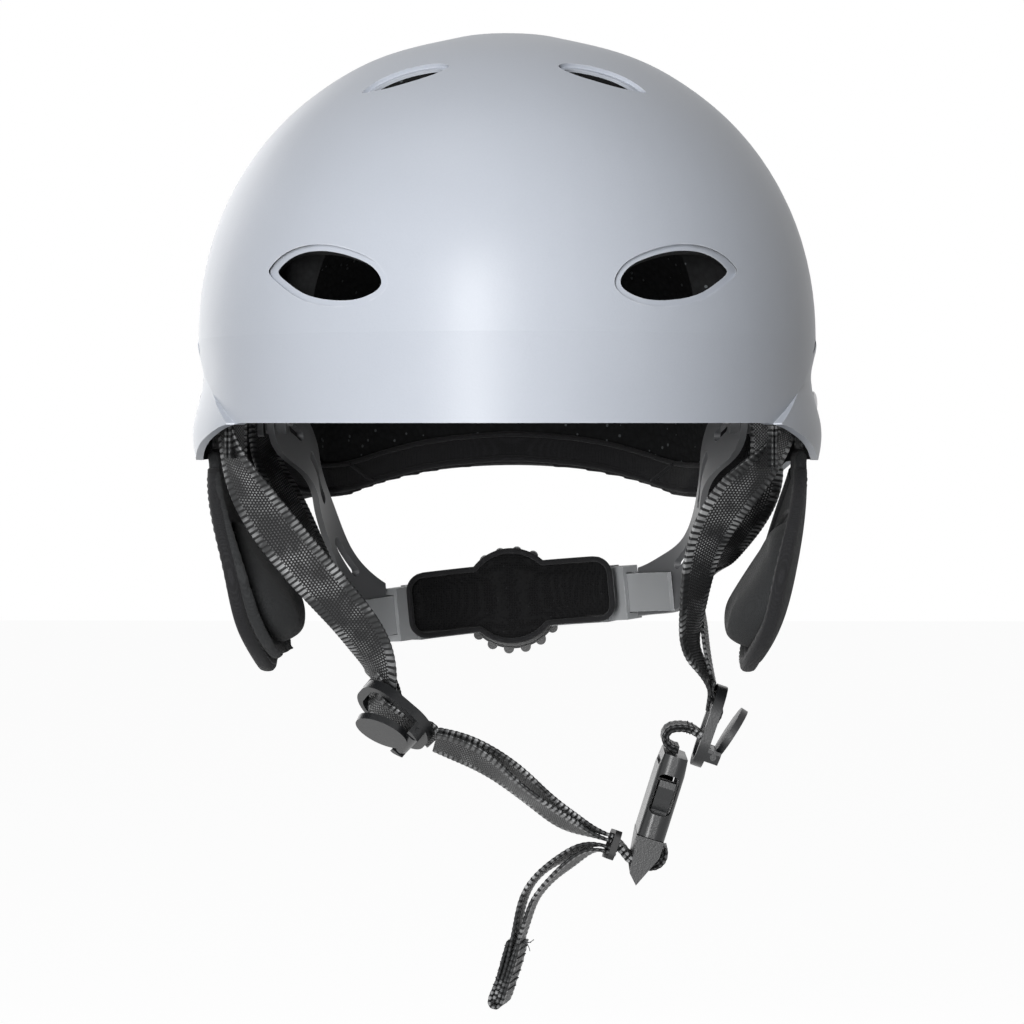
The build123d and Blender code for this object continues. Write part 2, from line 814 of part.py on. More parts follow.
def yoke_arm(wall, side):
    shares = arm_right_shares if side > 0 else arm_left_shares
    slots = arm_right_slot_shares if side > 0 else arm_left_slot_shares
    points = [Vector(0, arm_reach * reach, arm_drop * drop) for reach, drop in shares]
    face = make_face(Spline(*points, periodic=True))
    plug = extrude(face, yoke_flare_x + overrun, dir=(side, 0, 0))
    keep_x = yoke_radius * math.sin(math.radians(arm_tail_overlap - 2))
    keep = Box(yoke_flare_x, 4 * yoke_radius, 4 * arm_drop, align=(Align.MIN, Align.CENTER, Align.CENTER))
    keep = Pos(keep_x, 0, 0) * keep
    if side < 0:
        keep = mirror(keep, Plane.YZ)
    arm = wall & (plug & keep)
    for start, end in slots:
        arm = arm - side_slot(start, end, slot_width, side)
    inner, outer = arm_tail_radii()
    tail = arc_block(inner, outer, -band_half_height, band_half_height, arm_tail_angle, arm_tail_overlap)
    if side < 0:
        tail = mirror(tail, Plane.YZ)
    arm = arm + to_cradle(tail)
    boss = Rot(0, 90, 0) * Cylinder(arm_boss_radius, arm_boss_height)
    boss_x = anchor_plane() - anchor_plate_thickness - seat_gap - arm_boss_height / 2
    arm = arm + Pos(side * boss_x, arm_eye_y, arm_eye_z) * boss
    eye = Rot(0, 90, 0) * Cylinder(anchor_pin_radius + running_gap, 2 * overrun)
    return arm - Pos(side * boss_x, arm_eye_y, arm_eye_z) * eye


def anchor_plane():
    """Outer face of the anchor plates, seated on the liner's inner face."""
    return shell_half_width - shell_wall - seat_gap - liner_thickness - 4 * seat_gap


def anchor_plate(side):
    height = anchor_plate_top - anchor_plate_bottom
    plate = Box(anchor_plate_thickness, 2 * anchor_plate_half_length, height)
    plate = fillet(plate.edges().filter_by(Axis.X), anchor_plate_half_length / 2)
    centre_x = anchor_plane() - anchor_plate_thickness / 2
    plate = Pos(centre_x, arm_eye_y, (anchor_plate_top + anchor_plate_bottom) / 2) * plate
    drill = Rot(0, 90, 0) * Cylinder(anchor_pin_radius + running_gap, overrun)
    plate = plate - Pos(centre_x, arm_eye_y, arm_eye_z) * drill
    return plate if side > 0 else mirror(plate, Plane.YZ)


def anchor_pins():
    """Headed pins that the arms turn on, one on each side."""
    start = anchor_plane()
    end = start - anchor_plate_thickness - arm_boss_height - 2 * seat_gap
    pins = []
    for side in (-1, 1):
        stem = Rot(0, 90, 0) * Cylinder(anchor_pin_radius, start - end)
        stem = Pos((start + end) / 2, arm_eye_y, arm_eye_z) * stem
        head = Rot(0, 90, 0) * Cylinder(anchor_head_radius, anchor_head_height)
        head = Pos(end - anchor_head_height / 2, arm_eye_y, arm_eye_z) * head
        pin = stem + head
        pins.append(pin if side > 0 else mirror(pin, Plane.YZ))
    return Compound(children=[pin.solid() for pin in pins])


def channel_radii():
    inner, _ = band_radii()
    return inner - channel_gap, yoke_radius + channel_gap


def cradle_housing():
    inner, outer = channel_radii()
    front = inner - cradle_plate
    channel_half = band_half_height + channel_gap
    body = arc_block(
        front, outer, -cradle_half_height, cradle_half_height, -cradle_half_angle, cradle_half_angle
    )
    for side in (-1, 1):
        sleeve = arc_block(
            front + sleeve_inset,
            outer + cradle_plate - sleeve_inset,
            -sleeve_half_height,
            sleeve_half_height,
            cradle_half_angle,
            sleeve_angle,
        )
        body = body + (sleeve if side > 0 else mirror(sleeve, Plane.YZ))
    reach = sleeve_angle + cradle_half_angle
    body = body - arc_block(inner, outer, -channel_half, channel_half, -reach, reach)
    return to_cradle(body)


def cradle_cover():
    _, outer = channel_radii()
    body = arc_block(
        outer,
        outer + cradle_plate,
        -cradle_half_height,
        cradle_half_height,
        -cradle_half_angle,
        cradle_half_angle,
    )
    drill = Rot(90, 0, 0) * Cylinder(shaft_radius + running_gap, overrun)
    return to_cradle(body - Pos(0, outer, 0) * drill)


def rack_line():
    return tooth_module * tooth_count / 2


def head_band(side):
    """Band strip with a toothed tongue that meets the dial's pinion."""
    inner, outer = band_radii()
    addendum = tooth_module * tooth_height_share
    pitch_angle = math.degrees(math.pi * tooth_module / ((inner + outer) / 2))
    strip = arc_block(
        inner, outer, -band_half_height, band_half_height, band_shoulder_angle, band_outer_angle
    )
    root = rack_line() + addendum
    tongue = arc_block(inner, outer, root, band_half_height, -band_tip_angle, band_shoulder_angle)
    teeth = []
    last_tooth = int(band_shoulder_angle / pitch_angle)
    first_tooth = -int(band_tip_angle / pitch_angle)
    half_width = math.pi * tooth_module / 4 - tooth_backlash / 2
    half_tip = half_width - addendum * tooth_tip_share
    half_root = half_width + addendum * tooth_tip_share
    for index in range(first_tooth, last_tooth):
        low = rack_line() - addendum
        tooth = Polyline(
            Vector(-half_tip, 0, low),
            Vector(half_tip, 0, low),
            Vector(half_root, 0, root + addendum / 4),
            Vector(-half_root, 0, root + addendum / 4),
            Vector(-half_tip, 0, low),
        )
        tooth = extrude(make_face(tooth), outer - inner, dir=(0, 1, 0))
        tooth = Pos(0, inner, 0) * tooth
        teeth.append(Rot(0, 0, -index * pitch_angle) * tooth)
    clean = arc_block(inner, outer, -band_half_height, band_half_height, -band_outer_angle, band_outer_angle)
    band = strip + tongue
    for tooth in teeth:
        band = band + (tooth & clean)
    if side < 0:
        band = Rot(0, 180, 0) * band
    return to_cradle(band)


def dial_pinion():
    """Toothed wheel between the two racks, with its shaft through the cover."""
    inner, outer = band_radii()
    _, channel = channel_radii()
    radius = rack_line()
    addendum = tooth_module * tooth_height_share
    half_width = math.pi * tooth_module / 4 - tooth_backlash / 2
    low = inner - channel_gap / 2
    high = yoke_radius
    core = Cylinder(radius - addendum, high - low)
    for index in range(tooth_count):
        tooth = Polyline(
            Vector(0, -half_width - addendum * tooth_tip_share, 0),
            Vector(radius, -half_width, 0),
            Vector(radius + addendum, -half_width + addendum * tooth_tip_share, 0),
            Vector(radius + addendum, half_width - addendum * tooth_tip_share, 0),
            Vector(radius, half_width, 0),
            Vector(0, half_width + addendum * tooth_tip_share, 0),
            Vector(0, -half_width - addendum * tooth_tip_share, 0),
        )
        tooth = extrude(make_face(tooth), (high - low) / 2, both=True)
        core = core + Rot(0, 0, 360 * index / tooth_count) * tooth
    body = Pos(0, (high + low) / 2, 0) * (Rot(90, 0, 0) * core)
    shaft_end = channel + cradle_plate + seat_gap + dial_thickness / 2
    shaft = Rot(90, 0, 0) * Cylinder(shaft_radius, shaft_end - high)
    return to_cradle(body + Pos(0, (shaft_end + high) / 2, 0) * shaft)


def dial_knob():
    _, channel = channel_radii()
    start = channel + cradle_plate + seat_gap
    body = Cylinder(dial_radius, dial_thickness)
    body = chamfer(body.edges().filter_by(GeomType.CIRCLE), dial_edge)
    for index in range(dial_lug_count):
        lug = Cylinder(dial_lug_radius, dial_thickness - dial_edge)
        turn = 360 * index / dial_lug_count
        body = body + Rot(0, 0, turn) * (Pos(dial_radius, 0, 0) * lug)
    dish = Pos(0, 0, -dial_thickness / 2) * Cylinder(dial_dish_radius, 2 * dial_dish_depth)
    body = body - dish
    body = body - Pos(0, 0, dial_thickness / 2) * Cylinder(shaft_radius, dial_thickness)
    drill = Cylinder(shaft_radius / 2, 2 * dial_thickness)
    body = Rot(90, 0, 0) * (body - drill)
    return to_cradle(Pos(0, start + dial_thickness / 2, 0) * body)


def dial_screw():
    _, channel = channel_radii()
    start = channel + cradle_plate + seat_gap
    seat = start + dial_thickness - dial_dish_depth
    stem_length = dial_thickness / 2 - dial_dish_depth - seat_gap
    head = Cylinder(dial_screw_radius, dial_screw_height)
    slot = Box(2 * dial_screw_radius, dial_screw_height / 2, dial_screw_height)
    head = head - Pos(0, 0, -dial_screw_height / 2) * slot
    head = Pos(0, seat + dial_screw_height / 2, 0) * (Rot(90, 0, 0) * head)
    stem = Rot(90, 0, 0) * Cylinder(shaft_radius / 2 - running_gap, stem_length)
    return to_cradle(head + Pos(0, seat - stem_length / 2, 0) * stem)


def cradle_pad():
    inner, _ = channel_radii()
    back = inner - cradle_plate - seat_gap
    band = RectangleRounded(2 * cradle_pad_half_width, 2 * cradle_pad_half_height, cradle_pad_corner)
    outline = band + Circle(cradle_pad_disc)
    plane = Plane(origin=(0, back + cradle_pad_thickness, cradle_pad_lift), x_dir=(1, 0, 0), z_dir=(0, -1, 0))
    depth = back * (1 - math.cos(math.radians(cradle_half_angle + 4))) + 2 * cradle_pad_thickness
    plug = plane * extrude(outline, depth + overrun, taper=cradle_pad_draft / 4)
    front = back - cradle_pad_thickness
    layer = arc_block(front, back, -2 * cradle_pad_disc, 2 * cradle_pad_disc, -80, 80)
    return to_cradle(layer & plug)


def route_points(shares):
    points = []
    for place, across in shares:
        x = shell_half_width * place[0]
        y = shell_front_length * place[1]
        z = strap_drop * place[2]
        points.append((Vector(x, y, z), Vector(*across)))
    return points


def webbing(stations, width, thickness, lift=0):
    """Flat strap through its stations, its width held to the given directions."""
    wires = []
    for index, (point, across) in enumerate(stations):
        before = stations[max(index - 1, 0)][0]
        after = stations[min(index + 1, len(stations) - 1)][0]
        along = (after - before).normalized()
        across = (across - along * across.dot(along)).normalized()
        plane = Plane(origin=point, x_dir=across, z_dir=along)
        section = plane * (Pos(0, lift, 0) * Rectangle(width, thickness))
        wires.append(section.wire())
    return Solid.make_loft(wires)


def divider_frame_plane(side):
    """Clip plane: x along the clip, y across the webbing, z out of the lever's side."""
    if side < 0:
        shares, slope, turn = divider_left_place_shares, divider_left_slope, divider_left_turn
    else:
        shares, slope, turn = divider_right_place_shares, divider_right_slope, 90.0
    origin = Vector(
        shell_half_width * shares[0], shell_front_length * shares[1], strap_drop * shares[2]
    )
    along = Vector(math.cos(math.radians(slope)), 0, -math.sin(math.radians(slope)))
    down = Vector(-math.sin(math.radians(slope)), 0, -math.cos(math.radians(slope)))
    if side > 0:
        down = down * -1
    face = Vector(0, -1, 0) * math.cos(math.radians(turn)) + down * math.sin(math.radians(turn))
    return Plane(origin=origin, x_dir=along, z_dir=face)


def divider_hinge_x():
    return divider_length / 2 - divider_rail - lever_knuckle_radius


def divider_hinge_z():
    return divider_thickness / 2 + lever_knuckle_radius


def divider_frame(side):
    outline = RectangleRounded(divider_length, divider_width, divider_corner)
    body = extrude(outline, divider_thickness / 2, both=True)
    opening = RectangleRounded(
        divider_length - 2 * divider_rail, divider_width - 2 * divider_rail, divider_corner / 2
    )
    body = body - extrude(opening, divider_thickness, both=True)
    bar = Box(divider_bar, divider_width - divider_rail, divider_thickness / 2)
    body = body + Pos(-divider_length / 2 + 3 * divider_rail, 0, 0) * bar
    for sign in (-1, 1):
        ear = Box(2 * lever_knuckle_radius, lever_ear, divider_hinge_z() + lever_knuckle_radius)
        lift = (divider_hinge_z() + lever_knuckle_radius) / 2
        across = divider_width / 2 - lever_ear / 2 - divider_rail / 4
        ear = Pos(divider_hinge_x(), sign * across, lift) * ear
        body = body + (ear & extrude(outline, 2 * divider_width))
    drill = Rot(90, 0, 0) * Cylinder(lever_pin_radius + running_gap, 2 * divider_width)
    body = body - Pos(divider_hinge_x(), 0, divider_hinge_z()) * drill
    return divider_frame_plane(side) * body


def lever_half_width():
    return divider_width / 2 - lever_ear - divider_rail / 4 - seat_gap


def divider_lever(side):
    half_width = lever_half_width()
    plate = Ellipse(lever_length / 2, half_width)
    plate = extrude(plate, lever_thickness)
    plate = Pos(-lever_length / 2, 0, lever_knuckle_radius - lever_thickness) * plate
    knuckle = Rot(90, 0, 0) * Cylinder(lever_knuckle_radius, 2 * half_width - lever_ear)
    lever = plate + knuckle
    lever = lever - Rot(90, 0, 0) * Cylinder(lever_pin_radius + running_gap, 2 * divider_width)
    lever = Rot(0, lever_open, 0) * lever
    return divider_frame_plane(side) * (Pos(divider_hinge_x(), 0, divider_hinge_z()) * lever)


def divider_pins():
    pins = []
    for side in (-1, 1):
        pin = Rot(90, 0, 0) * Cylinder(lever_pin_radius, divider_width - divider_rail)
        pins.append(divider_frame_plane(side) * (Pos(divider_hinge_x(), 0, divider_hinge_z()) * pin))
    return Compound(children=[pin.solid() for pin in pins])


def buckle_plane():
    """Buckle frame: x along the width, y through the thickness, z from the mouth to the strap bar."""
    origin = Vector(
        shell_half_width * buckle_place_shares[0],
        shell_front_length * buckle_place_shares[1],
        strap_drop * buckle_place_shares[2],
    )
    up = Vector(math.sin(math.radians(buckle_lean)), 0, math.cos(math.radians(buckle_lean)))
    return Plane(origin=origin, x_dir=(0, -1, 0), z_dir=up)


def buckle_female():
    half_thick = buckle_thickness / 2
    outline = RectangleRounded(2 * buckle_half_width, buckle_thickness, half_thick * 0.8)
    body = extrude(outline, buckle_length)
    half_top = buckle_top_thickness / 2
    taper_start = buckle_length - buckle_taper_length
    taper = Polyline(
        Vector(0, -half_thick, 0),
        Vector(0, half_thick, 0),
        Vector(0, half_thick, taper_start),
        Vector(0, half_top, buckle_length),
        Vector(0, -half_top, buckle_length),
        Vector(0, -half_thick, taper_start),
        Vector(0, -half_thick, 0),
    )
    body = body & extrude(make_face(taper), buckle_half_width, dir=(1, 0, 0), both=True)
    room = Box(
        2 * buckle_mouth_half,
        buckle_thickness - 2 * buckle_wall,
        buckle_cavity_length + overrun,
        align=(Align.CENTER, Align.CENTER, Align.MAX),
    )
    body = body - Pos(0, 0, buckle_cavity_length) * room
    for sign in (-1, 1):
        window = Box(
            buckle_half_width,
            prong_pad_thickness + 2 * seat_gap,
            window_end - window_start + 2 * seat_gap,
        )
        window = fillet(window.edges().filter_by(Axis.X), prong_pad_thickness / 3)
        centre_x = sign * (buckle_mouth_half - buckle_bar + buckle_half_width / 2)
        body = body - Pos(centre_x, 0, (window_start + window_end) / 2) * window
        pass_box = Box(
            2 * buckle_wall,
            buckle_thickness - 2 * buckle_wall,
            window_end - window_start,
        )
        body = body - Pos(sign * buckle_mouth_half, 0, (window_start + window_end) / 2) * pass_box
    eye = Box(
        2 * buckle_half_width - 4 * buckle_wall - buckle_bar,
        2 * buckle_thickness,
        buckle_length - buckle_cavity_length - buckle_bar - buckle_wall / 2,
        align=(Align.CENTER, Align.CENTER, Align.MIN),
    )
    return buckle_plane() * (body - Pos(0, 0, buckle_cavity_length + buckle_wall / 2) * eye)


def male_half_thickness():
    return buckle_thickness / 2 - buckle_wall - seat_gap


def buckle_male():
    """Strap ladder and guide tongue of the buckle's male half."""
    half_width = buckle_half_width - seat_gap
    shoulder = -seat_gap
    profile = Polyline(
        Vector(0, -buckle_thickness / 2, shoulder),
        Vector(0, buckle_thickness / 2, shoulder),
        Vector(0, buckle_thickness / 2, -male_base_length / 3),
        Vector(0, 0, -male_base_length),
        Vector(0, -buckle_thickness / 3, -male_base_length * 0.8),
        Vector(0, -buckle_thickness / 2, shoulder),
    )
    body = extrude(make_face(profile), half_width, dir=(1, 0, 0), both=True)
    eye = Box(2 * (half_width - male_rail), 2 * buckle_thickness, male_base_length / 2 - male_bar)
    body = body - Pos(0, 0, -male_base_length * 0.62) * eye
    pocket = Box(
        2 * (half_width - male_rail),
        2 * male_half_thickness(),
        2 * prong_knuckle_radius + seat_gap - prong_pivot_u - prong_knuckle_radius,
        align=(Align.CENTER, Align.CENTER, Align.MAX),
    )
    body = body - Pos(0, 0, seat_gap) * pocket
    guide = Box(
        2 * guide_half_width,
        2 * male_half_thickness(),
        guide_length - prong_pivot_u + 2 * prong_knuckle_radius,
        align=(Align.CENTER, Align.CENTER, Align.MAX),
    )
    body = body + Pos(0, 0, guide_length) * guide
    for sign in (-1, 1):
        pin = Rot(90, 0, 0) * Cylinder(prong_pin_radius, buckle_thickness - buckle_wall)
        body = body + Pos(sign * prong_pivot_x, 0, prong_pivot_u) * pin
    return buckle_plane() * body


def prong(side):
    """Latch arm with an outside pad that fills the side window."""
    half = prong_thickness / 2
    tip = prong_pivot_u + prong_length + prong_knuckle_radius
    arm_outer = prong_inner_x + half
    outline = [
        Vector(prong_inner_x - half / 2, 0, prong_pivot_u),
        Vector(prong_inner_x, 0, prong_pivot_u + prong_length / 3),
        Vector(prong_inner_x + half / 4, 0, tip - half),
        Vector(prong_inner_x + half, 0, tip),
    ]
    outline.append(Vector(buckle_half_width * prong_pad_shares[-1][1] - half / 2, 0, tip))
    for along, out in reversed(prong_pad_shares):
        outline.append(Vector(buckle_half_width * out, 0, prong_length * along))
    outline.append(Vector(arm_outer, 0, prong_pivot_u + prong_knuckle_radius / 2))
    outline.append(outline[0])
    arm = extrude(make_face(Polyline(*outline)), male_half_thickness(), dir=(0, 1, 0), both=True)
    knuckle = Rot(90, 0, 0) * Cylinder(prong_knuckle_radius, 2 * male_half_thickness())
    arm = arm + Pos(prong_pivot_x, 0, prong_pivot_u) * knuckle
    drill = Rot(90, 0, 0) * Cylinder(prong_pin_radius + running_gap, 2 * buckle_thickness)
    arm = arm - Pos(prong_pivot_x, 0, prong_pivot_u) * drill
    if side < 0:
        arm = mirror(arm, Plane.YZ)
    return buckle_plane() * arm


def ladder_loop():
    """Webbing that comes through the ladder's eye and folds round its bar."""
    plane = buckle_plane()
    stations = []
    for across_share, up_share in ladder_loop_shares:
        local = Vector(0, buckle_thickness * across_share, male_base_length * up_share)
        stations.append((plane.from_local_coords(local), plane.x_dir))
    return webbing(stations, webbing_width, 2 * webbing_thickness)


def keeper_frame():
    """Keeper plane at the end of the chin strap, z along the strap."""
    stations = route_points(chin_route_shares)
    point, across = stations[-1]
    along = (point - stations[-2][0]).normalized()
    across = (across - along * across.dot(along)).normalized()
    return Plane(origin=point, x_dir=across, z_dir=along)


def keeper_ring():
    bore_width = webbing_width + 2 * seat_gap
    outline = RectangleRounded(
        bore_width + 2 * keeper_wall, keeper_bore_height + 2 * keeper_wall, keeper_wall * 1.8
    )
    ring = extrude(outline, keeper_length) - extrude(Rectangle(bore_width, keeper_bore_height), keeper_length)
    return keeper_frame() * (Pos(0, keeper_shift, seat_gap) * ring)


def save(name, shape):
    export_step(shape, os.path.join("parts", name + ".step"))
    print(name, round(shape.volume), len(shape.solids()))


def main():
    os.makedirs("parts", exist_ok=True)
    save("outer_shell", outer_shell())
    ring = liner_ring()
    save("foam_liner", foam_liner(ring))
    save("liner_rim", liner_rim(ring))
    for name, pad in comfort_pads().items():
        save(name, pad)
    save("side_rivets", side_rivets())
    save("rivet_washers", rivet_washers())
    wall = band_wall()
    for name, side in (("left", -1), ("right", 1)):
        save("flap_tab_" + name, flap_tab(side))
        save("ear_panel_" + name, ear_panel(side))
        save("ear_cushion_" + name, ear_cushion(side))
        save("yoke_arm_" + name, yoke_arm(wall, side))
        save("anchor_plate_" + name, anchor_plate(side))
        save("head_band_" + name, head_band(side))
        save("divider_frame_" + name, divider_frame(side))
        save("divider_lever_" + name, divider_lever(side))
    save("anchor_pins", anchor_pins())
    save("cradle_housing", cradle_housing())
    save("cradle_cover", cradle_cover())
    save("dial_pinion", dial_pinion())
    save("dial_knob", dial_knob())
    save("dial_screw", dial_screw())
    save("cradle_pad", cradle_pad())
    save("divider_pins", divider_pins())
    save("strap_front_left", webbing(route_points(left_front_route_shares), webbing_width, webbing_thickness))
    save("strap_rear_left", webbing(route_points(left_rear_route_shares), webbing_width, webbing_thickness))
    save("strap_front_right", webbing(route_points(right_front_route_shares), webbing_width, webbing_thickness))
    save("strap_rear_right", webbing(route_points(right_rear_route_shares), webbing_width, webbing_thickness))
    chin_shift = (webbing_thickness + chin_ply_gap) / 2
    save("chin_strap_outer", webbing(route_points(chin_route_shares), webbing_width, webbing_thickness, chin_shift))
    save("chin_strap_inner", webbing(route_points(chin_route_shares), webbing_width, webbing_thickness, -chin_shift))
    save("strap_tail", webbing(route_points(tail_route_shares), webbing_width, 2 * webbing_thickness))
    save("buckle_female", buckle_female())
    save("buckle_male", buckle_male())
    save("prong_front", prong(1))
    save("prong_rear", prong(-1))
    save("buckle_strap", webbing(route_points(buckle_strap_route_shares), webbing_width, 2 * webbing_thickness))
    save("ladder_loop", ladder_loop())
    save("keeper_ring", keeper_ring())


main()
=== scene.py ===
# %% [markdown]
# # Dressing a skydiving helmet
# The solids of the helmet come from its engineering model. This lesson loads them as a fixed frame,
# then gives every rigid part a finish and rebuilds every soft part: webbing, pads, cushions and piping.

# %% Load the frame
import bpy
import math
import numpy as np
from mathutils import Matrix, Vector
from mathutils.bvhtree import BVHTree


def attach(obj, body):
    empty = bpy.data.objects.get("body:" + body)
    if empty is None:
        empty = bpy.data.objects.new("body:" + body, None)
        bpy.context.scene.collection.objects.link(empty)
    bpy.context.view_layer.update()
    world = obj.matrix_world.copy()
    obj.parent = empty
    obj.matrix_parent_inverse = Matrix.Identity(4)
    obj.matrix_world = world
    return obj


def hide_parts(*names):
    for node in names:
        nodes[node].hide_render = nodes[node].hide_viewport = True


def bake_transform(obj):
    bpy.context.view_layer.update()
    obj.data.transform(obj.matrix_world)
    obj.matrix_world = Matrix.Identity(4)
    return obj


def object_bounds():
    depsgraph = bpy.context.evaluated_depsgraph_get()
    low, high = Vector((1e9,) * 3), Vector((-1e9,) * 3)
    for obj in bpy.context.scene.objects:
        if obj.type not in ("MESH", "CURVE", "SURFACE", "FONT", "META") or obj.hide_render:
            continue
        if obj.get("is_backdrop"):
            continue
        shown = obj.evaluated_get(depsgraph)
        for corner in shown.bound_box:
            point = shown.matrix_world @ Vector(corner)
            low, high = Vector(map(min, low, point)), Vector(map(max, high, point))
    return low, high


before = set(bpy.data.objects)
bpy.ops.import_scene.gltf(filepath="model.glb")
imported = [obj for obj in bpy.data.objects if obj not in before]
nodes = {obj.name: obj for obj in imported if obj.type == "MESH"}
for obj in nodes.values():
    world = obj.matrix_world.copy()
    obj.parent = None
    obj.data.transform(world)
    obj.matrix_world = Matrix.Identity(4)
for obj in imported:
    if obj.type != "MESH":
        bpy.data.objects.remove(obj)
cad_low, cad_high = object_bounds()
mm = 0.001
print("solids:", len(nodes), "size in mm:", [round(v / mm) for v in cad_high - cad_low])

# %% [markdown]
# ## Camera
# The helmet is seen from the front, with the eye at the height of the brow rim and a long lens about
# 1.2 m away. A true perspective camera is used, because the rear band shows below the rim only in
# perspective.

# %% Camera at the photograph's viewing angle
eye_distance = 1.2
eye_azimuth = math.radians(1.0)
eye_turn = math.radians(0.921)
eye_pitch = math.radians(1.565)
camera_data = bpy.data.cameras.new("camera")
camera_data.sensor_width = 36.0
camera_data.lens = 114.6
camera = bpy.data.objects.new("camera", camera_data)
bpy.context.scene.collection.objects.link(camera)
camera.location = (eye_distance * math.sin(eye_azimuth), -eye_distance * math.cos(eye_azimuth), 0.0)
sight = Vector((-math.sin(eye_turn), math.cos(eye_turn), -math.tan(eye_pitch)))
camera.rotation_mode = "QUATERNION"
camera.rotation_quaternion = sight.to_track_quat("-Z", "Y")
camera_data.clip_start, camera_data.clip_end = 0.05, 50.0
bpy.context.scene.camera = camera
bpy.context.scene.view_settings.view_transform = "Standard"
print("camera", [round(v, 3) for v in camera.location])

# %% [markdown]
# ## Small helpers for node trees
# Every finish below is a node tree. One short function adds a node, sets its options and joins or
# fills its sockets, so that each finish reads as a list of what it is made of.

# %% Node helpers
def add(tree, kind, inputs=None, **options):
    node = tree.nodes.new(kind)
    for key, value in options.items():
        setattr(node, key, value)
    for key, value in (inputs or {}).items():
        if isinstance(value, bpy.types.NodeSocket):
            tree.links.new(value, node.inputs[key])
        else:
            node.inputs[key].default_value = value
    return node


def math_node(tree, operation, first, second=0.0, clamp=False):
    node = add(tree, "ShaderNodeMath", {0: first, 1: second}, operation=operation, use_clamp=clamp)
    return node.outputs[0]


def lobes(tree, value):
    """Row of rounded bumps, one for each whole step of the value."""
    turned = math_node(tree, "MULTIPLY", value, math.pi)
    return math_node(tree, "ABSOLUTE", math_node(tree, "SINE", turned))


def linear(red, green, blue):
    """Linear colour from the 0 to 255 values that a painter would pick."""
    shares = [value / 255 for value in (red, green, blue)]
    return tuple(s / 12.92 if s <= 0.04045 else ((s + 0.055) / 1.055) ** 2.4 for s in shares) + (1.0,)


def new_group(name, inputs, outputs):
    """Empty node group; inputs are (name, kind, default) and outputs (name, kind)."""
    group = bpy.data.node_groups.new(name, "ShaderNodeTree")
    for label, kind, default in inputs:
        socket = group.interface.new_socket(label, in_out="INPUT", socket_type=kind)
        socket.default_value = default
    for label, kind in outputs:
        group.interface.new_socket(label, in_out="OUTPUT", socket_type=kind)
    start = group.nodes.new("NodeGroupInput")
    end = group.nodes.new("NodeGroupOutput")
    return group, start.outputs, end.inputs


print("helpers ready")

# %% [markdown]
# ## Shared surface effects
# Moulded plastic, paint, foam and cloth all carry fine grain, dust and rubbed edges. Each effect is a
# node group with named sockets, built once. The grain reads the piece's own coordinates in metres.

# %% Group: fine grain
NUMBER = "NodeSocketFloat"
grain_group, gin, gout = new_group(
    "Fine grain",
    [("Grains per metre", NUMBER, 900.0), ("Softness", NUMBER, 0.5)],
    [("Height", NUMBER), ("Mottle", NUMBER)],
)
place = add(grain_group, "ShaderNodeTexCoord").outputs["Object"]
fine = add(
    grain_group,
    "ShaderNodeTexNoise",
    {"Vector": place, "Scale": gin["Grains per metre"], "Detail": 2.0, "Roughness": gin["Softness"]},
)
broad = add(grain_group, "ShaderNodeTexNoise", {"Vector": place, "Scale": 28.0, "Detail": 3.0})
grain_group.links.new(fine.outputs[0], gout["Height"])
grain_group.links.new(broad.outputs[0], gout["Mottle"])
print("group", grain_group.name)

# %% [markdown]
# Edges of handled parts are polished or scuffed. The Bevel node gives the normal that a slightly
# rounded edge would have; where it leaves the true normal there is an edge.

# %% Group: edge wear
wear_group, gin, gout = new_group(
    "Edge wear",
    [("Reach", NUMBER, 0.0006), ("Breakup", NUMBER, 220.0)],
    [("Mask", NUMBER)],
)
rounded = add(wear_group, "ShaderNodeBevel", {"Radius": gin["Reach"]}, samples=4)
true_normal = add(wear_group, "ShaderNodeNewGeometry").outputs["Normal"]
alike = add(
    wear_group, "ShaderNodeVectorMath", {0: rounded.outputs[0], 1: true_normal}, operation="DOT_PRODUCT"
).outputs["Value"]
turned = math_node(wear_group, "MULTIPLY", math_node(wear_group, "SUBTRACT", 1.0, alike), 9.0, clamp=True)
place = add(wear_group, "ShaderNodeTexCoord").outputs["Object"]
patches = add(wear_group, "ShaderNodeTexNoise", {"Vector": place, "Scale": gin["Breakup"], "Detail": 4.0})
patch_mask = add(
    wear_group, "ShaderNodeMapRange", {"Value": patches.outputs[0], "From Min": 0.4, "From Max": 0.62}
).outputs[0]
wear_group.links.new(math_node(wear_group, "MULTIPLY", turned, patch_mask), gout["Mask"])
print("group", wear_group.name)

# %% [markdown]
# Lint and dust sit on dark cloth as tiny pale specks. A cell texture gives scattered points, and only
# the few brightest cells are kept.

# %% Group: lint specks
lint_group, gin, gout = new_group(
    "Lint specks",
    [("Specks per metre", NUMBER, 500.0), ("Share", NUMBER, 0.12)],
    [("Mask", NUMBER)],
)
place = add(lint_group, "ShaderNodeTexCoord").outputs["Object"]
cells = add(lint_group, "ShaderNodeTexVoronoi", {"Vector": place, "Scale": gin["Specks per metre"]})
pick = add(lint_group, "ShaderNodeSeparateColor", {0: cells.outputs["Color"]}).outputs[0]
chosen = math_node(lint_group, "LESS_THAN", pick, gin["Share"])
near = math_node(lint_group, "LESS_THAN", cells.outputs["Distance"], 0.26)
lint_group.links.new(math_node(lint_group, "MULTIPLY", chosen, near), gout["Mask"])
print("group", lint_group.name)
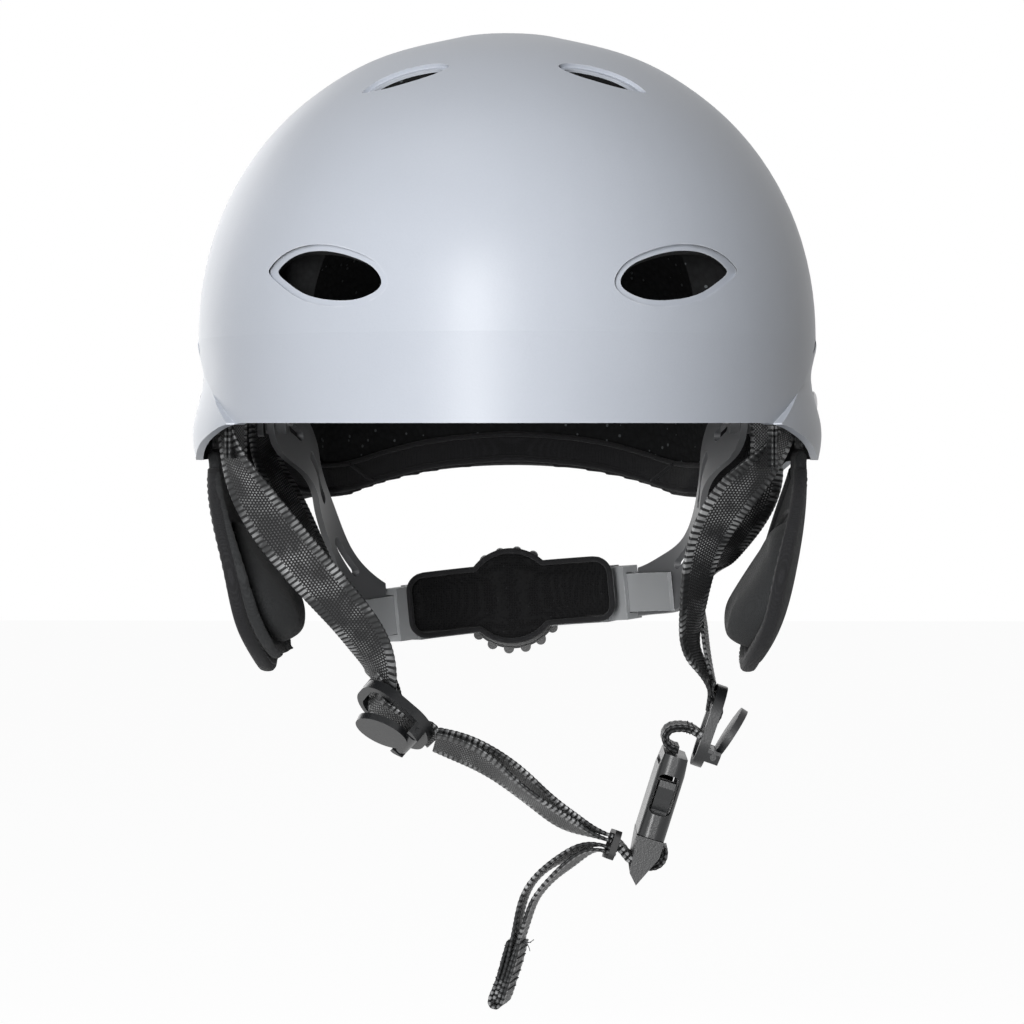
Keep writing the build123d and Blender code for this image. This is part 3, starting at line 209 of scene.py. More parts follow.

# %% [markdown]
# Webbing is woven nylon: two bands of short cross ribs run along its edges, and the middle is a fine
# twill of rows of dots. Its Glint output is a painted highlight: the peaks of the weave, in scattered
# patches, which the finish paints pale. The group reads a map laid along each strap, in metres.

# %% Group: webbing weave
weave_group, gin, gout = new_group(
    "Webbing weave",
    [("Half width", NUMBER, 0.009), ("Rib pitch", NUMBER, 0.0019), ("Yarn pitch", NUMBER, 0.00085)],
    [("Height", NUMBER), ("Glint", NUMBER)],
)
strap_map = add(weave_group, "ShaderNodeUVMap", uv_map="strap_map").outputs[0]
split = add(weave_group, "ShaderNodeSeparateXYZ", {0: strap_map})
across, along = split.outputs[0], split.outputs[1]
side = math_node(weave_group, "ABSOLUTE", across)
edge_band = math_node(
    weave_group, "GREATER_THAN", math_node(weave_group, "DIVIDE", side, gin["Half width"]), 0.62
)
rib_turns = math_node(weave_group, "DIVIDE", along, gin["Rib pitch"])
rib = lobes(weave_group, rib_turns)
yarn_along = math_node(weave_group, "DIVIDE", along, gin["Yarn pitch"])
yarn_across = math_node(weave_group, "DIVIDE", across, gin["Yarn pitch"])
slant = math_node(weave_group, "MULTIPLY", math_node(weave_group, "FLOOR", yarn_across), 0.5)
twill = lobes(weave_group, math_node(weave_group, "ADD", yarn_along, slant))
dots = math_node(weave_group, "MULTIPLY", twill, lobes(weave_group, yarn_across))
height = add(weave_group, "ShaderNodeMix", {"Factor": edge_band, 2: dots, 3: rib}).outputs[0]
# Painted glint: a broad noise picks the patches where the weave's peaks are painted pale as highlights.
sparkle_place = add(weave_group, "ShaderNodeTexCoord").outputs["Object"]
sparkle = add(weave_group, "ShaderNodeTexNoise", {"Vector": sparkle_place, "Scale": 95.0, "Detail": 3.0})
bright = add(
    weave_group, "ShaderNodeMapRange", {"Value": sparkle.outputs[0], "From Min": 0.44, "From Max": 0.66}
).outputs[0]
peak = math_node(weave_group, "GREATER_THAN", height, 0.66)
weave_group.links.new(height, gout["Height"])
weave_group.links.new(math_node(weave_group, "MULTIPLY", peak, bright), gout["Glint"])
print("group", weave_group.name)

# %% [markdown]
# Pad covers are knitted spacer mesh. Its holes are rows of cells, so a cell texture on the piece's own
# coordinates gives pits with threads between them, on any curved pad. The covers paint the pits darker
# than the threads, as painted shade.

# %% Group: knitted mesh
knit_group, gin, gout = new_group(
    "Knitted mesh", [("Holes per metre", NUMBER, 1100.0)], [("Height", NUMBER)]
)
place = add(knit_group, "ShaderNodeTexCoord").outputs["Object"]
cells = add(
    knit_group, "ShaderNodeTexVoronoi",
    {"Vector": place, "Scale": gin["Holes per metre"], "Randomness": 0.35}, feature="DISTANCE_TO_EDGE",
)
pit_range = {"Value": cells.outputs["Distance"], "From Min": 0.08, "From Max": 0.3}
pit = add(knit_group, "ShaderNodeMapRange", pit_range)
knit_group.links.new(math_node(knit_group, "SUBTRACT", 1.0, pit.outputs[0]), gout["Height"])
print("group", knit_group.name)

# %% [markdown]
# ## Finishes
# Each material keeps its own Principled shader. Colours are what the real parts have: a satin pale
# blue-grey paint, charcoal and black plastics, black cloths and plain steel. Some also carry painted light:
# painted shade on the shell's inner face, painted highlights and shade on the webbing's weave, and
# painted shade in the pits of the knitted covers.

# %% Material helper
def new_material(name):
    material = bpy.data.materials.new(name)
    material.use_nodes = True
    tree = material.node_tree
    shader = tree.nodes["Principled BSDF"]
    return material, tree, shader


def group_node(tree, group, **values):
    """Node of a group, with its sockets set by name and underscores standing for spaces."""
    inputs = {key.replace("_", " "): value for key, value in values.items()}
    return add(tree, "ShaderNodeGroup", inputs, node_tree=group)


def blend_colour(tree, mask, first, second):
    node = add(tree, "ShaderNodeMix", {"Factor": mask}, data_type="RGBA")
    for index, colour in ((6, first), (7, second)):
        if isinstance(colour, bpy.types.NodeSocket):
            tree.links.new(colour, node.inputs[index])
        else:
            node.inputs[index].default_value = colour
    return node.outputs[2]


def spread(tree, value, low, high):
    return add(tree, "ShaderNodeMapRange", {"Value": value, "To Min": low, "To Max": high}).outputs[0]


def bump(tree, shader, height, strength, distance):
    node = add(tree, "ShaderNodeBump", {"Height": height, "Strength": strength, "Distance": distance})
    tree.links.new(node.outputs[0], shader.inputs["Normal"])


print("material helpers ready")

# %% Satin shell paint
shell_paint, tree, shader = new_material("shell_paint")
grain = group_node(tree, grain_group, Grains_per_metre=1500.0, Softness=0.55)
wear = group_node(tree, wear_group, Reach=0.0009, Breakup=160.0)
tint = blend_colour(tree, grain.outputs["Mottle"], linear(166, 171, 180), linear(172, 177, 186))
flake = spread(tree, grain.outputs["Height"], 0.0, 1.0)
tint = blend_colour(tree, math_node(tree, "MULTIPLY", flake, 0.22), tint, linear(190, 194, 201))
tint = blend_colour(tree, math_node(tree, "MULTIPLY", wear.outputs[0], 0.4), tint, linear(214, 217, 221))
# Painted shade: where the surface faces the middle of the helmet, on the shell's inner face, the colour is
# painted near black.
place = add(tree, "ShaderNodeTexCoord")
away = add(tree, "ShaderNodeVectorMath", {0: place.outputs["Object"]}, operation="NORMALIZE").outputs[0]
facing = add(
    tree, "ShaderNodeVectorMath", {0: away, 1: place.outputs["Normal"]}, operation="DOT_PRODUCT"
).outputs["Value"]
inside = math_node(tree, "LESS_THAN", facing, -0.45)
tree.links.new(blend_colour(tree, inside, tint, linear(18, 18, 19)), shader.inputs["Base Color"])
tree.links.new(spread(tree, grain.outputs["Mottle"], 0.36, 0.43), shader.inputs["Roughness"])
shader.inputs["Specular IOR Level"].default_value = 0.32
bump(tree, shader, grain.outputs["Height"], 0.22, 0.00012)
print("material", shell_paint.name)

# %% [markdown]
# The liner is moulded bead foam: dark, with rounded cells a few millimetres wide and pale flecks where
# beads have pulled apart.

# %% Bead foam
liner_foam, tree, shader = new_material("liner_foam")
place = add(tree, "ShaderNodeTexCoord").outputs["Object"]
beads = add(tree, "ShaderNodeTexVoronoi", {"Vector": place, "Scale": 380.0})
lint = group_node(tree, lint_group, Specks_per_metre=420.0, Share=0.16)
tint = blend_colour(tree, beads.outputs["Distance"], linear(22, 23, 24), linear(8, 8, 9))
tint = blend_colour(tree, math_node(tree, "MULTIPLY", lint.outputs[0], 0.55), tint, linear(104, 108, 110))
tree.links.new(tint, shader.inputs["Base Color"])
shader.inputs["Roughness"].default_value = 0.85
shader.inputs["Specular IOR Level"].default_value = 0.2
bump(tree, shader, beads.outputs["Distance"], 0.7, -0.0006)
print("material", liner_foam.name)

# %% Moulded plastics
def moulded_plastic(name, dark, pale, rough, grains=1300.0, relief=0.00006, worn=0.5):
    """Injection-moulded plastic with spark-eroded grain and rubbed edges."""
    material, tree, shader = new_material(name)
    grain = group_node(tree, grain_group, Grains_per_metre=grains, Softness=0.6)
    wear = group_node(tree, wear_group, Reach=0.0005, Breakup=300.0)
    tint = blend_colour(tree, grain.outputs["Mottle"], dark, pale)
    rubbed = tuple(min(1.0, 2.6 * c + 0.02) for c in pale[:3]) + (1.0,)
    tint = blend_colour(tree, math_node(tree, "MULTIPLY", wear.outputs[0], worn), tint, rubbed)
    tree.links.new(tint, shader.inputs["Base Color"])
    sheen = spread(tree, grain.outputs["Mottle"], rough - 0.06, rough + 0.08)
    tree.links.new(sheen, shader.inputs["Roughness"])
    bump(tree, shader, grain.outputs["Height"], 0.45, relief)
    return material


band_plastic = moulded_plastic("band_plastic", linear(148, 150, 152), linear(162, 164, 166), 0.5)
arm_plastic = moulded_plastic("arm_plastic", linear(82, 83, 85), linear(96, 97, 99), 0.48)
buckle_plastic = moulded_plastic(
    "buckle_plastic", linear(16, 17, 18), linear(24, 25, 27), 0.34, relief=0.0001
)
dial_plastic = moulded_plastic("dial_plastic", linear(18, 18, 19), linear(28, 28, 30), 0.4)
keeper_rubber = moulded_plastic("keeper_rubber", linear(12, 12, 13), linear(20, 20, 21), 0.6, worn=0.2)
print("five plastics made")

# %% Steel of the rivets, pins and screw
fastener_steel, tree, shader = new_material("fastener_steel")
grain = group_node(tree, grain_group, Grains_per_metre=2400.0, Softness=0.5)
tint = blend_colour(tree, grain.outputs["Mottle"], linear(150, 150, 152), linear(196, 196, 198))
tree.links.new(tint, shader.inputs["Base Color"])
shader.inputs["Metallic"].default_value = 1.0
tree.links.new(spread(tree, grain.outputs["Height"], 0.22, 0.42), shader.inputs["Roughness"])
bump(tree, shader, grain.outputs["Height"], 0.2, 0.00004)
print("material", fastener_steel.name)

# %% [markdown]
# Cloth finishes: the webbing has its woven map, the pads have knitted mesh, and the flaps and liner rim
# have a close brushed knit. Sheen stands for the fibres that stand up from each of them.

# %% Woven webbing
def woven(name, half_width, dark, pale, rib_pitch=0.0021, yarn_pitch=0.00115):
    material, tree, shader = new_material(name)
    weave = group_node(tree, weave_group, Half_width=half_width, Rib_pitch=rib_pitch, Yarn_pitch=yarn_pitch)
    # Painted highlight and shade: the raised yarns are painted paler than the pits, and the glint peaks are
    # painted near white.
    tint = blend_colour(tree, weave.outputs["Height"], dark, pale)
    painted_glint = math_node(tree, "MULTIPLY", weave.outputs["Glint"], 0.6)
    tint = blend_colour(tree, painted_glint, tint, linear(190, 191, 192))
    tree.links.new(tint, shader.inputs["Base Color"])
    tree.links.new(spread(tree, weave.outputs["Height"], 0.6, 0.32), shader.inputs["Roughness"])
    shader.inputs["Specular IOR Level"].default_value = 0.3
    shader.inputs["Sheen Weight"].default_value = 0.03
    shader.inputs["Sheen Roughness"].default_value = 0.4
    bump(tree, shader, weave.outputs["Height"], 0.8, 0.00028)
    return material


black_webbing = woven("black_webbing", 0.009, linear(6, 6, 7), linear(44, 45, 46))
print("material", black_webbing.name)

# %% Knitted and brushed covers
def knitted(name, dark, pale, holes, relief, sheen, rough=0.8):
    material, tree, shader = new_material(name)
    knit = group_node(tree, knit_group, Holes_per_metre=holes)
    lint = group_node(tree, lint_group, Specks_per_metre=900.0, Share=0.03)
    grain = group_node(tree, grain_group, Grains_per_metre=700.0, Softness=0.6)
    # Painted shade: the pits of the mesh are painted darker than its threads.
    tint = blend_colour(tree, knit.outputs["Height"], dark, pale)
    tint = blend_colour(tree, math_node(tree, "MULTIPLY", grain.outputs["Mottle"], 0.35), tint, dark)
    tint = blend_colour(tree, math_node(tree, "MULTIPLY", lint.outputs[0], 0.25), tint, linear(70, 71, 73))
    tree.links.new(tint, shader.inputs["Base Color"])
    shader.inputs["Roughness"].default_value = rough
    shader.inputs["Specular IOR Level"].default_value = 0.15
    shader.inputs["Sheen Weight"].default_value = sheen
    shader.inputs["Sheen Roughness"].default_value = 0.5
    bump(tree, shader, knit.outputs["Height"], 0.7, relief)
    return material


padding_fabric = knitted("padding_fabric", linear(4, 4, 5), linear(20, 20, 21), 1000.0, 0.0003, 0.02)
flap_fabric = knitted("flap_fabric", linear(30, 31, 32), linear(54, 55, 56), 2100.0, 0.00012, 0.08)
rim_fabric = knitted("rim_fabric", linear(14, 14, 15), linear(38, 38, 40), 1700.0, 0.00018, 0.1)
binding = knitted("binding", linear(14, 14, 15), linear(44, 44, 46), 2300.0, 0.0001, 0.1)
thread, tree, shader = new_material("thread")
strands = add(tree, "ShaderNodeTexWave", {"Scale": 900.0, "Distortion": 1.0})
tint = blend_colour(tree, strands.outputs["Fac"], linear(20, 20, 21), linear(74, 75, 77))
tree.links.new(tint, shader.inputs["Base Color"])
shader.inputs["Roughness"].default_value = 0.5
bump(tree, shader, strands.outputs["Fac"], 0.5, 0.00005)
print("cloth finishes made")

# %% [markdown]
# ## Finishes on the rigid parts
# The rigid solids already have their true shapes, so they stay and only receive a finish.

# %% Give each rigid node its material
finishes = {
    "outer_shell": shell_paint,
    "foam_liner": liner_foam,
    "side_rivets": fastener_steel,
    "rivet_washers": fastener_steel,
    "anchor_pins": fastener_steel,
    "divider_pins": buckle_plastic,
    "dial_screw": fastener_steel,
    "yoke_arm_left": arm_plastic,
    "yoke_arm_right": arm_plastic,
    "anchor_plate_left": arm_plastic,
    "anchor_plate_right": arm_plastic,
    "head_band_left": band_plastic,
    "head_band_right": band_plastic,
    "cradle_housing": band_plastic,
    "cradle_cover": dial_plastic,
    "dial_pinion": dial_plastic,
    "dial_knob": dial_plastic,
    "keeper_ring": keeper_rubber,
}
for name in nodes:
    if name.startswith(("divider_frame", "divider_lever", "buckle_female", "buckle_male", "prong_")):
        finishes[name] = buckle_plastic
for name, material in finishes.items():
    piece = nodes[name]
    for index in range(max(1, len(piece.material_slots))):
        if piece.material_slots:
            piece.material_slots[index].link = "OBJECT"
            piece.material_slots[index].material = material
        else:
            piece.data.materials.append(material)
print("finished", len(finishes), "rigid nodes")

# %% [markdown]
# ## Webbing
# Cloth simulation would erase thin webbing, so each strap is built directly. Its route is a smooth line
# through a few stations, and its width is held to a direction given at each station, which makes the
# twists. The section has rounded edges, and the cross ribs along the edges are real relief.

# %% Smooth line through stations
def smooth(stations, spacing):
    """Natural cubic line through rows of numbers; the first three columns are the place."""
    rows = np.array(stations, float)
    chords = np.linalg.norm(np.diff(rows[:, :3], axis=0), axis=1)
    knots = np.concatenate([[0.0], np.cumsum(chords)])
    count = len(rows)
    system, target = np.eye(count), np.zeros_like(rows)
    for i in range(1, count - 1):
        before, after = knots[i] - knots[i - 1], knots[i + 1] - knots[i]
        system[i, i - 1 : i + 2] = before, 2 * (before + after), after
        target[i] = 6 * ((rows[i + 1] - rows[i]) / after - (rows[i] - rows[i - 1]) / before)
    bend = np.linalg.solve(system, target)
    at = np.linspace(0, knots[-1], max(4, int(round(knots[-1] / spacing)) + 1))
    span = np.clip(np.searchsorted(knots, at, side="right") - 1, 0, count - 2)
    length = (knots[span + 1] - knots[span])[:, None]
    right = (at - knots[span])[:, None]
    left = length - right
    line = (bend[span] * left**3 + bend[span + 1] * right**3) / (6 * length)
    line += (rows[span] / length - bend[span] * length / 6) * left
    line += (rows[span + 1] / length - bend[span + 1] * length / 6) * right
    return line


def unit(rows):
    return rows / np.linalg.norm(rows, axis=1)[:, None]


print("a straight run of two stations has", len(smooth([(0, 0, 0), (0, 0, 0.01)], 0.001)), "points")

# %% Mesh helpers
def new_piece(name, points, faces, material, smooth_faces=True):
    mesh = bpy.data.meshes.new(name)
    mesh.from_pydata([tuple(p) for p in points], [], faces)
    mesh.validate()
    mesh.polygons.foreach_set("use_smooth", [smooth_faces] * len(mesh.polygons))
    mesh.materials.append(material)
    piece = bpy.data.objects.new(name, mesh)
    bpy.context.scene.collection.objects.link(piece)
    return piece


def tube_faces(sections, ring, closed=False):
    """Faces of a tube with ring points in each section, capped where it is open."""
    faces = []
    for i in range(sections if closed else sections - 1):
        a, b = i * ring, ((i + 1) % sections) * ring
        faces += [(a + j, a + (j + 1) % ring, b + (j + 1) % ring, b + j) for j in range(ring)]
    if not closed:
        faces += [tuple(range(ring))[::-1], tuple(range((sections - 1) * ring, sections * ring))]
    return faces


print("mesh helpers ready")

# %% Ribbed strap
half_breadth, length_front, drop = 112.7, 138.0, 100.0
strap_width, strap_thickness, ply_thickness, ply_lift = 18.0, 1.4, 1.36, 0.72
strap_step = 0.48
rib_pitch, rib_height, weave_height, rib_band_share = 1.9, 0.16, 0.05, 0.62
edge_share, edge_sink, edge_wave, edge_round = 0.16, 0.14, 0.12, 0.9


def strap_stations(route):
    """Stations in metres from shares of the shell's half width, its front length and the strap drop."""
    rows = []
    for (x, y, z), across in route:
        rows.append((x * half_breadth * mm, y * length_front * mm, z * drop * mm) + tuple(across))
    return rows


def strap_frame(stations):
    """Centreline, width direction and face direction along a strap."""
    rows = smooth(stations, strap_step * mm)
    centre, across = rows[:, :3], rows[:, 3:6]
    along = unit(np.gradient(centre, axis=0))
    across = unit(across - along * (across * along).sum(1)[:, None])
    return centre, across, np.cross(along, across)


def along_strap(value, count):
    """One number per point, from a number or from pairs of a share of the length and a value."""
    if not isinstance(value, tuple):
        return np.full(count, float(value))
    shares, values = zip(*value)
    rows = np.interp(np.linspace(0, 1, count), shares, values)
    span = max(1, count // 14)
    kernel = np.ones(2 * span + 1) / (2 * span + 1)
    return np.convolve(np.pad(rows, span, mode="edge"), kernel, mode="valid")


def ribbed_strap(
    name, stations, material, width=strap_width, thickness=strap_thickness, lift=0.0, edge_on=0.0
):
    """Strap mesh with rounded, ribbed edges, and its weave map in metres.

    lift raises it along its face in mm, and edge_on turns its width towards the front.
    """
    centre, across, face = strap_frame(stations)
    along = unit(np.gradient(centre, axis=0))
    turn = along_strap(edge_on, len(centre))[:, None]
    across = across * (1 - turn) + np.sign(across[:, 1:2]) * np.array([[0.0, 1.0, 0.0]]) * turn
    across = unit(across - along * (across * along).sum(1)[:, None])
    face = np.cross(along, across)
    centre = centre + face * along_strap(lift, len(centre))[:, None] * mm
    half, deep = width / 2 * mm, thickness / 2 * mm
    steps = np.concatenate([np.linspace(-1, -0.94, 3), np.linspace(-0.9, 0.9, 19), np.linspace(0.94, 1, 3)])
    run = np.concatenate([[0], np.cumsum(np.linalg.norm(np.diff(centre, axis=0), axis=1))])
    rib = np.abs(np.sin(np.pi * run / (rib_pitch * mm)))
    points, maps = [], []
    for i in range(len(centre)):
        for direction in (1, -1):
            for s in steps[::direction]:
                from_edge = (1 - abs(s)) * half
                rounding = math.sqrt(max(0.0, 1 - max(0.0, 1 - from_edge / (deep * edge_round)) ** 2))
                band = 1.0 if abs(s) > rib_band_share else 0.0
                lump = (rib_height * rib[i] * band + weave_height * (1 - band)) * mm
                rise = deep * (edge_share + (1 - edge_share) * rounding)
                high = direction * (rise - edge_sink * mm + lump)
                wide = s * (half - edge_wave * mm * (1 - rib[i]) * band)
                points.append(centre[i] + across[i] * wide + face[i] * high)
                maps.append((wide, run[i]))
    piece = new_piece(name, points, tube_faces(len(centre), 2 * len(steps)), material)
    layer = piece.data.uv_layers.new(name="strap_map")
    for loop in piece.data.loops:
        layer.data[loop.index].uv = maps[loop.vertex_index]
    return piece


print("strap section", strap_width, "by", strap_thickness, "mm")

# %% [markdown]
# The routes repeat the stations of the engineering model, so each strap lies where its solid lies.

# %% Strap routes
routes = {
    "strap_front_left": [
        ((-0.898, -0.28, 0.13), (0.25, -1.0, 0.0)),
        ((-0.878, -0.3, -0.06), (0.4, -0.9, 0.1)),
        ((-0.772, -0.29, -0.31), (0.72, -0.4, 0.55)),
        ((-0.544, -0.2, -0.64), (0.7, -0.35, 0.6)),
        ((-0.434, -0.12, -0.83), (0.6, -0.65, 0.45)),
        ((-0.413, -0.075, -0.93), (0.4, -0.85, 0.36)),
        ((-0.414, -0.052, -0.965), (0.3247, -0.866, 0.3802)),
    ],
    "strap_rear_left": [
        ((-0.852, 0.33, 0.1), (0.2, 1.0, 0.0)),
        ((-0.84, 0.32, -0.06), (0.4, 0.9, 0.0)),
        ((-0.76, 0.258, -0.26), (0.44, 0.82, 0.2)),
        ((-0.675, 0.198, -0.42), (0.28, 0.9, 0.2)),
        ((-0.56, 0.1, -0.66), (0.2, 1.0, 0.2)),
        ((-0.44, 0.02, -0.87), (-0.2, 1.0, -0.1)),
        ((-0.39, -0.01, -0.98), (-0.35, 0.85, -0.35)),
        ((-0.3627, -0.0606, -1.0604), (-0.3247, 0.866, -0.3802)),
    ],
    "strap_front_right": [
        ((0.905, -0.28, 0.13), (-0.25, -1.0, 0.0)),
        ((0.88, -0.285, -0.04), (-0.5, -1.0, 0.0)),
        ((0.74, -0.26, -0.24), (-0.9, -0.45, 0.2)),
        ((0.63, -0.2, -0.47), (-0.75, -0.65, 0.0)),
        ((0.6, -0.14, -0.68), (-0.5, -0.85, 0.0)),
        ((0.613, -0.08, -0.85), (-0.3, -0.95, 0.0)),
        ((0.662, -0.05, -0.975), (-0.1, -1.0, 0.0)),
        ((0.655, -0.038, -1.02), (0.0, -1.0, 0.0)),
    ],
    "strap_rear_right": [
        ((0.852, 0.33, 0.1), (-0.2, 1.0, 0.0)),
        ((0.862, 0.335, -0.05), (-0.4, 0.9, 0.0)),
        ((0.86, 0.34, -0.2), (-0.8, 0.6, 0.0)),
        ((0.82, 0.32, -0.34), (-0.75, 0.65, 0.1)),
        ((0.72, 0.24, -0.5), (-0.35, 0.92, 0.2)),
        ((0.652, 0.135, -0.61), (0.0, 1.0, 0.2)),
        ((0.645, 0.06, -0.73), (0.1, 1.0, 0.1)),
        ((0.655, 0.002, -0.86), (0.1, 1.0, 0.0)),
        ((0.672, -0.035, -0.955), (0.05, 1.0, 0.0)),
    ],
}
chin_route = [
    ((-0.2325, -0.058, -1.16), (0.3247, -0.866, 0.3802)),
    ((-0.13, -0.058, -1.2), (0.264, -0.8, 0.54)),
    ((0.02, -0.055, -1.3), (0.28, -0.87, 0.41)),
    ((0.11, -0.052, -1.385), (0.28, -0.89, 0.35)),
    ((0.2, -0.045, -1.46), (0.22, -0.91, 0.36)),
    ((0.285, -0.04, -1.505), (0.03, -0.99, 0.18)),
    ((0.335, -0.038, -1.525), (0.0, -1.0, 0.12)),
]
buckle_strap_route = [
    ((0.63, -0.036, -1.145), (0.0, 1.0, 0.0)),
    ((0.601, -0.036, -1.122), (0.0, 1.0, 0.0)),
    ((0.5525, -0.036, -1.113), (0.0, 1.0, 0.0)),
    ((0.5235, -0.036, -1.124), (0.0, 1.0, 0.0)),
    ((0.5133, -0.036, -1.154), (0.0, 1.0, 0.0)),
    ((0.5295, -0.036, -1.182), (0.0, 1.0, 0.0)),
    ((0.5559, -0.036, -1.193), (0.0, 1.0, 0.0)),
]
tail_route = [
    ((0.35, -0.04, -1.576), (0.0, -1.0, 0.12)),
    ((0.305, -0.0415, -1.56), (0.0, -1.0, 0.15)),
    ((0.255, -0.045, -1.567), (-0.1, -0.93, 0.33)),
    ((0.2, -0.05, -1.6), (-0.266, -0.866, 0.42)),
    ((0.145, -0.052, -1.645), (-0.29, -0.91, 0.3)),
    ((0.08, -0.052, -1.73), (-0.305, -0.94, 0.17)),
    ((0.048, -0.05, -1.84), (-0.316, -0.944, 0.095)),
    ((0.027, -0.048, -1.93), (-0.335, -0.937, 0.1)),
    ((0.002, -0.046, -2.03), (-0.335, -0.937, 0.1)),
    ((-0.026, -0.044, -2.12), (-0.335, -0.937, 0.1)),
]
print("routes:", len(routes) + 3)

# %% Straps from the shell to the dividers
for name, route in routes.items():
    piece = ribbed_strap(name + "_webbing", strap_stations(route), black_webbing)
    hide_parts(name)
    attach(piece, "helmet")
    print(piece.name, len(piece.data.vertices), "points")

# %% [markdown]
# The chin strap is two plies that lie a hair apart and gape in the middle. The tail that leaves the keeper
# is two plies too, parted where it swings out and lying together at its sewn end.

# %% Chin strap, buckle loop and tail
chin_gape = ((0, 0.9), (0.2, 1.3), (0.45, 2.5), (0.7, 1.3), (1, 0.9))
tail_gape = ((0, 0.72), (0.15, 1.2), (0.4, 2.4), (0.62, 1.5), (0.78, 0.72), (1, 0.72))
chin_turn = ((0, 0.0), (0.2, 0.15), (0.45, 0.3), (0.8, 0.15), (1, 0.0))
tail_turn = ((0, 0.0), (0.2, 0.5), (0.8, 0.6), (1, 0.5))


def mirrored(pairs):
    return tuple((share, -value) for share, value in pairs)


chin_stations, tail_stations = strap_stations(chin_route), strap_stations(tail_route)
loop_stations = strap_stations(buckle_strap_route)
for name, lift in (("chin_strap_outer", chin_gape), ("chin_strap_inner", mirrored(chin_gape))):
    piece = ribbed_strap(name + "_webbing", chin_stations, black_webbing, lift=lift, edge_on=chin_turn)
    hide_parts(name)
    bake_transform(piece)
for label, sign in (("upper", 1), ("lower", -1)):
    gape = tail_gape if sign > 0 else mirrored(tail_gape)
    tail = ribbed_strap(
        "strap_tail_" + label, tail_stations, black_webbing,
        thickness=ply_thickness, lift=gape, edge_on=tail_turn,
    )
    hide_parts("strap_tail")
    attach(tail, "buckle_insert")
    loop = ribbed_strap(
        "buckle_strap_" + label, loop_stations, black_webbing, thickness=ply_thickness, lift=ply_lift * sign
    )
    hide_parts("buckle_strap")
    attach(loop, "helmet")
print("plies built")

# %% [markdown]
# The tail ends in a hem: the webbing is folded back over both plies and sewn, so the end is four plies
# thick with a round tip. The fold is one more strap whose stations go down one face, round the end and up
# the other face.

# %% Folded end of the tail
centre, across, face = strap_frame(tail_stations)
end_turn = 0.5
tip_across = across[-1] * (1 - end_turn) + np.array([0, np.sign(across[-1][1]) * end_turn, 0])
tip_along = (centre[-1] - centre[-20]) / np.linalg.norm(centre[-1] - centre[-20])
tip_across = tip_across - tip_along * float(tip_across @ tip_along)
tip_across /= np.linalg.norm(tip_across)
tip_face = np.cross(tip_along, tip_across)


def tail_spot(back, out):
    """Point near the tail's end, back mm from it along the tail and out mm off its middle."""
    i = max(0, len(centre) - 1 - int(round(max(0.0, back) / strap_step)))
    ahead = tip_along * max(0.0, -back) * mm
    return tuple(centre[i] + ahead + tip_face * out * mm)


wrap_thickness = 1.3
fold_face = [(23, 2.0), (18, 2.15), (12, 2.1), (5, 2.15), (0.4, 2.2), (-1.3, 1.5)]
fold = fold_face + [(-1.9, 0.0)] + [(back, -out) for back, out in fold_face[::-1]]
fold_stations = [tail_spot(back, out) + tuple(tip_across) for back, out in fold]
hem = ribbed_strap("strap_tail_hem", fold_stations, black_webbing, thickness=wrap_thickness)
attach(hem, "buckle_insert")
print("hem folded over", max(back for back, out in fold), "mm")

# %% [markdown]
# At each divider the webbing passes behind the frame's end bar, loops over the inner bar and leaves
# behind the far bar. The stations are written in the frame's own plane: distance along it and height.

# %% Webbing through the dividers
def in_plane(origin, along, face):
    origin, along, face = Vector(origin), Vector(along), Vector(face)
    return lambda x, z: tuple((origin + along * x + face * z) * mm)


clip_room = 17.4
clips = {
    "left": (
        in_plane((-41.02, -8.0, -107.0), (0.7604, 0.0, -0.6494), (-0.5624, -0.5, -0.6585)),
        (0.3247, -0.866, 0.3802),
        [
            (-15.5, -4.5), (-12.4, -3.6), (-10.1, -1.0), (-8.2, 1.5), (-5.9, 2.2), (-3.2, 1.8),
            (0.5, 1.2), (4.5, 0.4), (8.5, -1.4), (12, -3.2), (17.1, -2.4),
        ],
    ),
    "right": (
        in_plane((74.04, -4.97, -111.0), (-0.3256, 0.0, -0.9455), (0.9455, 0.0, -0.3256)),
        (0.0, -1.0, 0.0),
        [
            (-16.5, -3.8), (-12.6, -3.4), (-10.2, -1.1), (-8.2, 1.5), (-5.9, 2.2),
            (-3.4, 1.9), (-0.4, 1.0), (2.2, -0.4), (4.6, -2.0),
        ],
    ),
}
for side, (spot, across, path) in clips.items():
    stations = [spot(x, z) + across for x, z in path]
    name = f"divider_{side}_loop"
    wrap = ribbed_strap(name, stations, black_webbing, width=clip_room, thickness=wrap_thickness)
    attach(wrap, "helmet")
print("loops through the dividers:", list(clips))

# %% [markdown]
# Under the brow edge the front straps end in short folded tabs, sewn where they meet the shell.

# %% Folded tabs under the brow
tab_width, tab_top, tab_y, tab_gap = 17.0, 12.0, -42.0, 0.75
for side, x, tilt, low in ((-1, -96.0, 0.26, -12.5), (1, 91.8, 0.4, -16.0)):
    across = (tilt * side, -math.sqrt(1 - tilt**2), 0.0)
    levels = (tab_top, tab_top / 2, 0.0, (low - 2) / 2, low)
    stations = [(x * mm, tab_y * mm, z * mm) + across for z in levels]
    label = "left" if side < 0 else "right"
    for ply, out in (("front", tab_gap), ("back", -tab_gap)):
        tab = ribbed_strap(
            f"brow_tab_{label}_{ply}", stations, black_webbing,
            width=tab_width, thickness=wrap_thickness, lift=out,
        )
        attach(tab, "helmet")

# %% [markdown]
# The strap also folds through the eye of the buckle's ladder. Its stations are written in the buckle's
# own frame, which leans with the webbing, and then turned into the common frame.

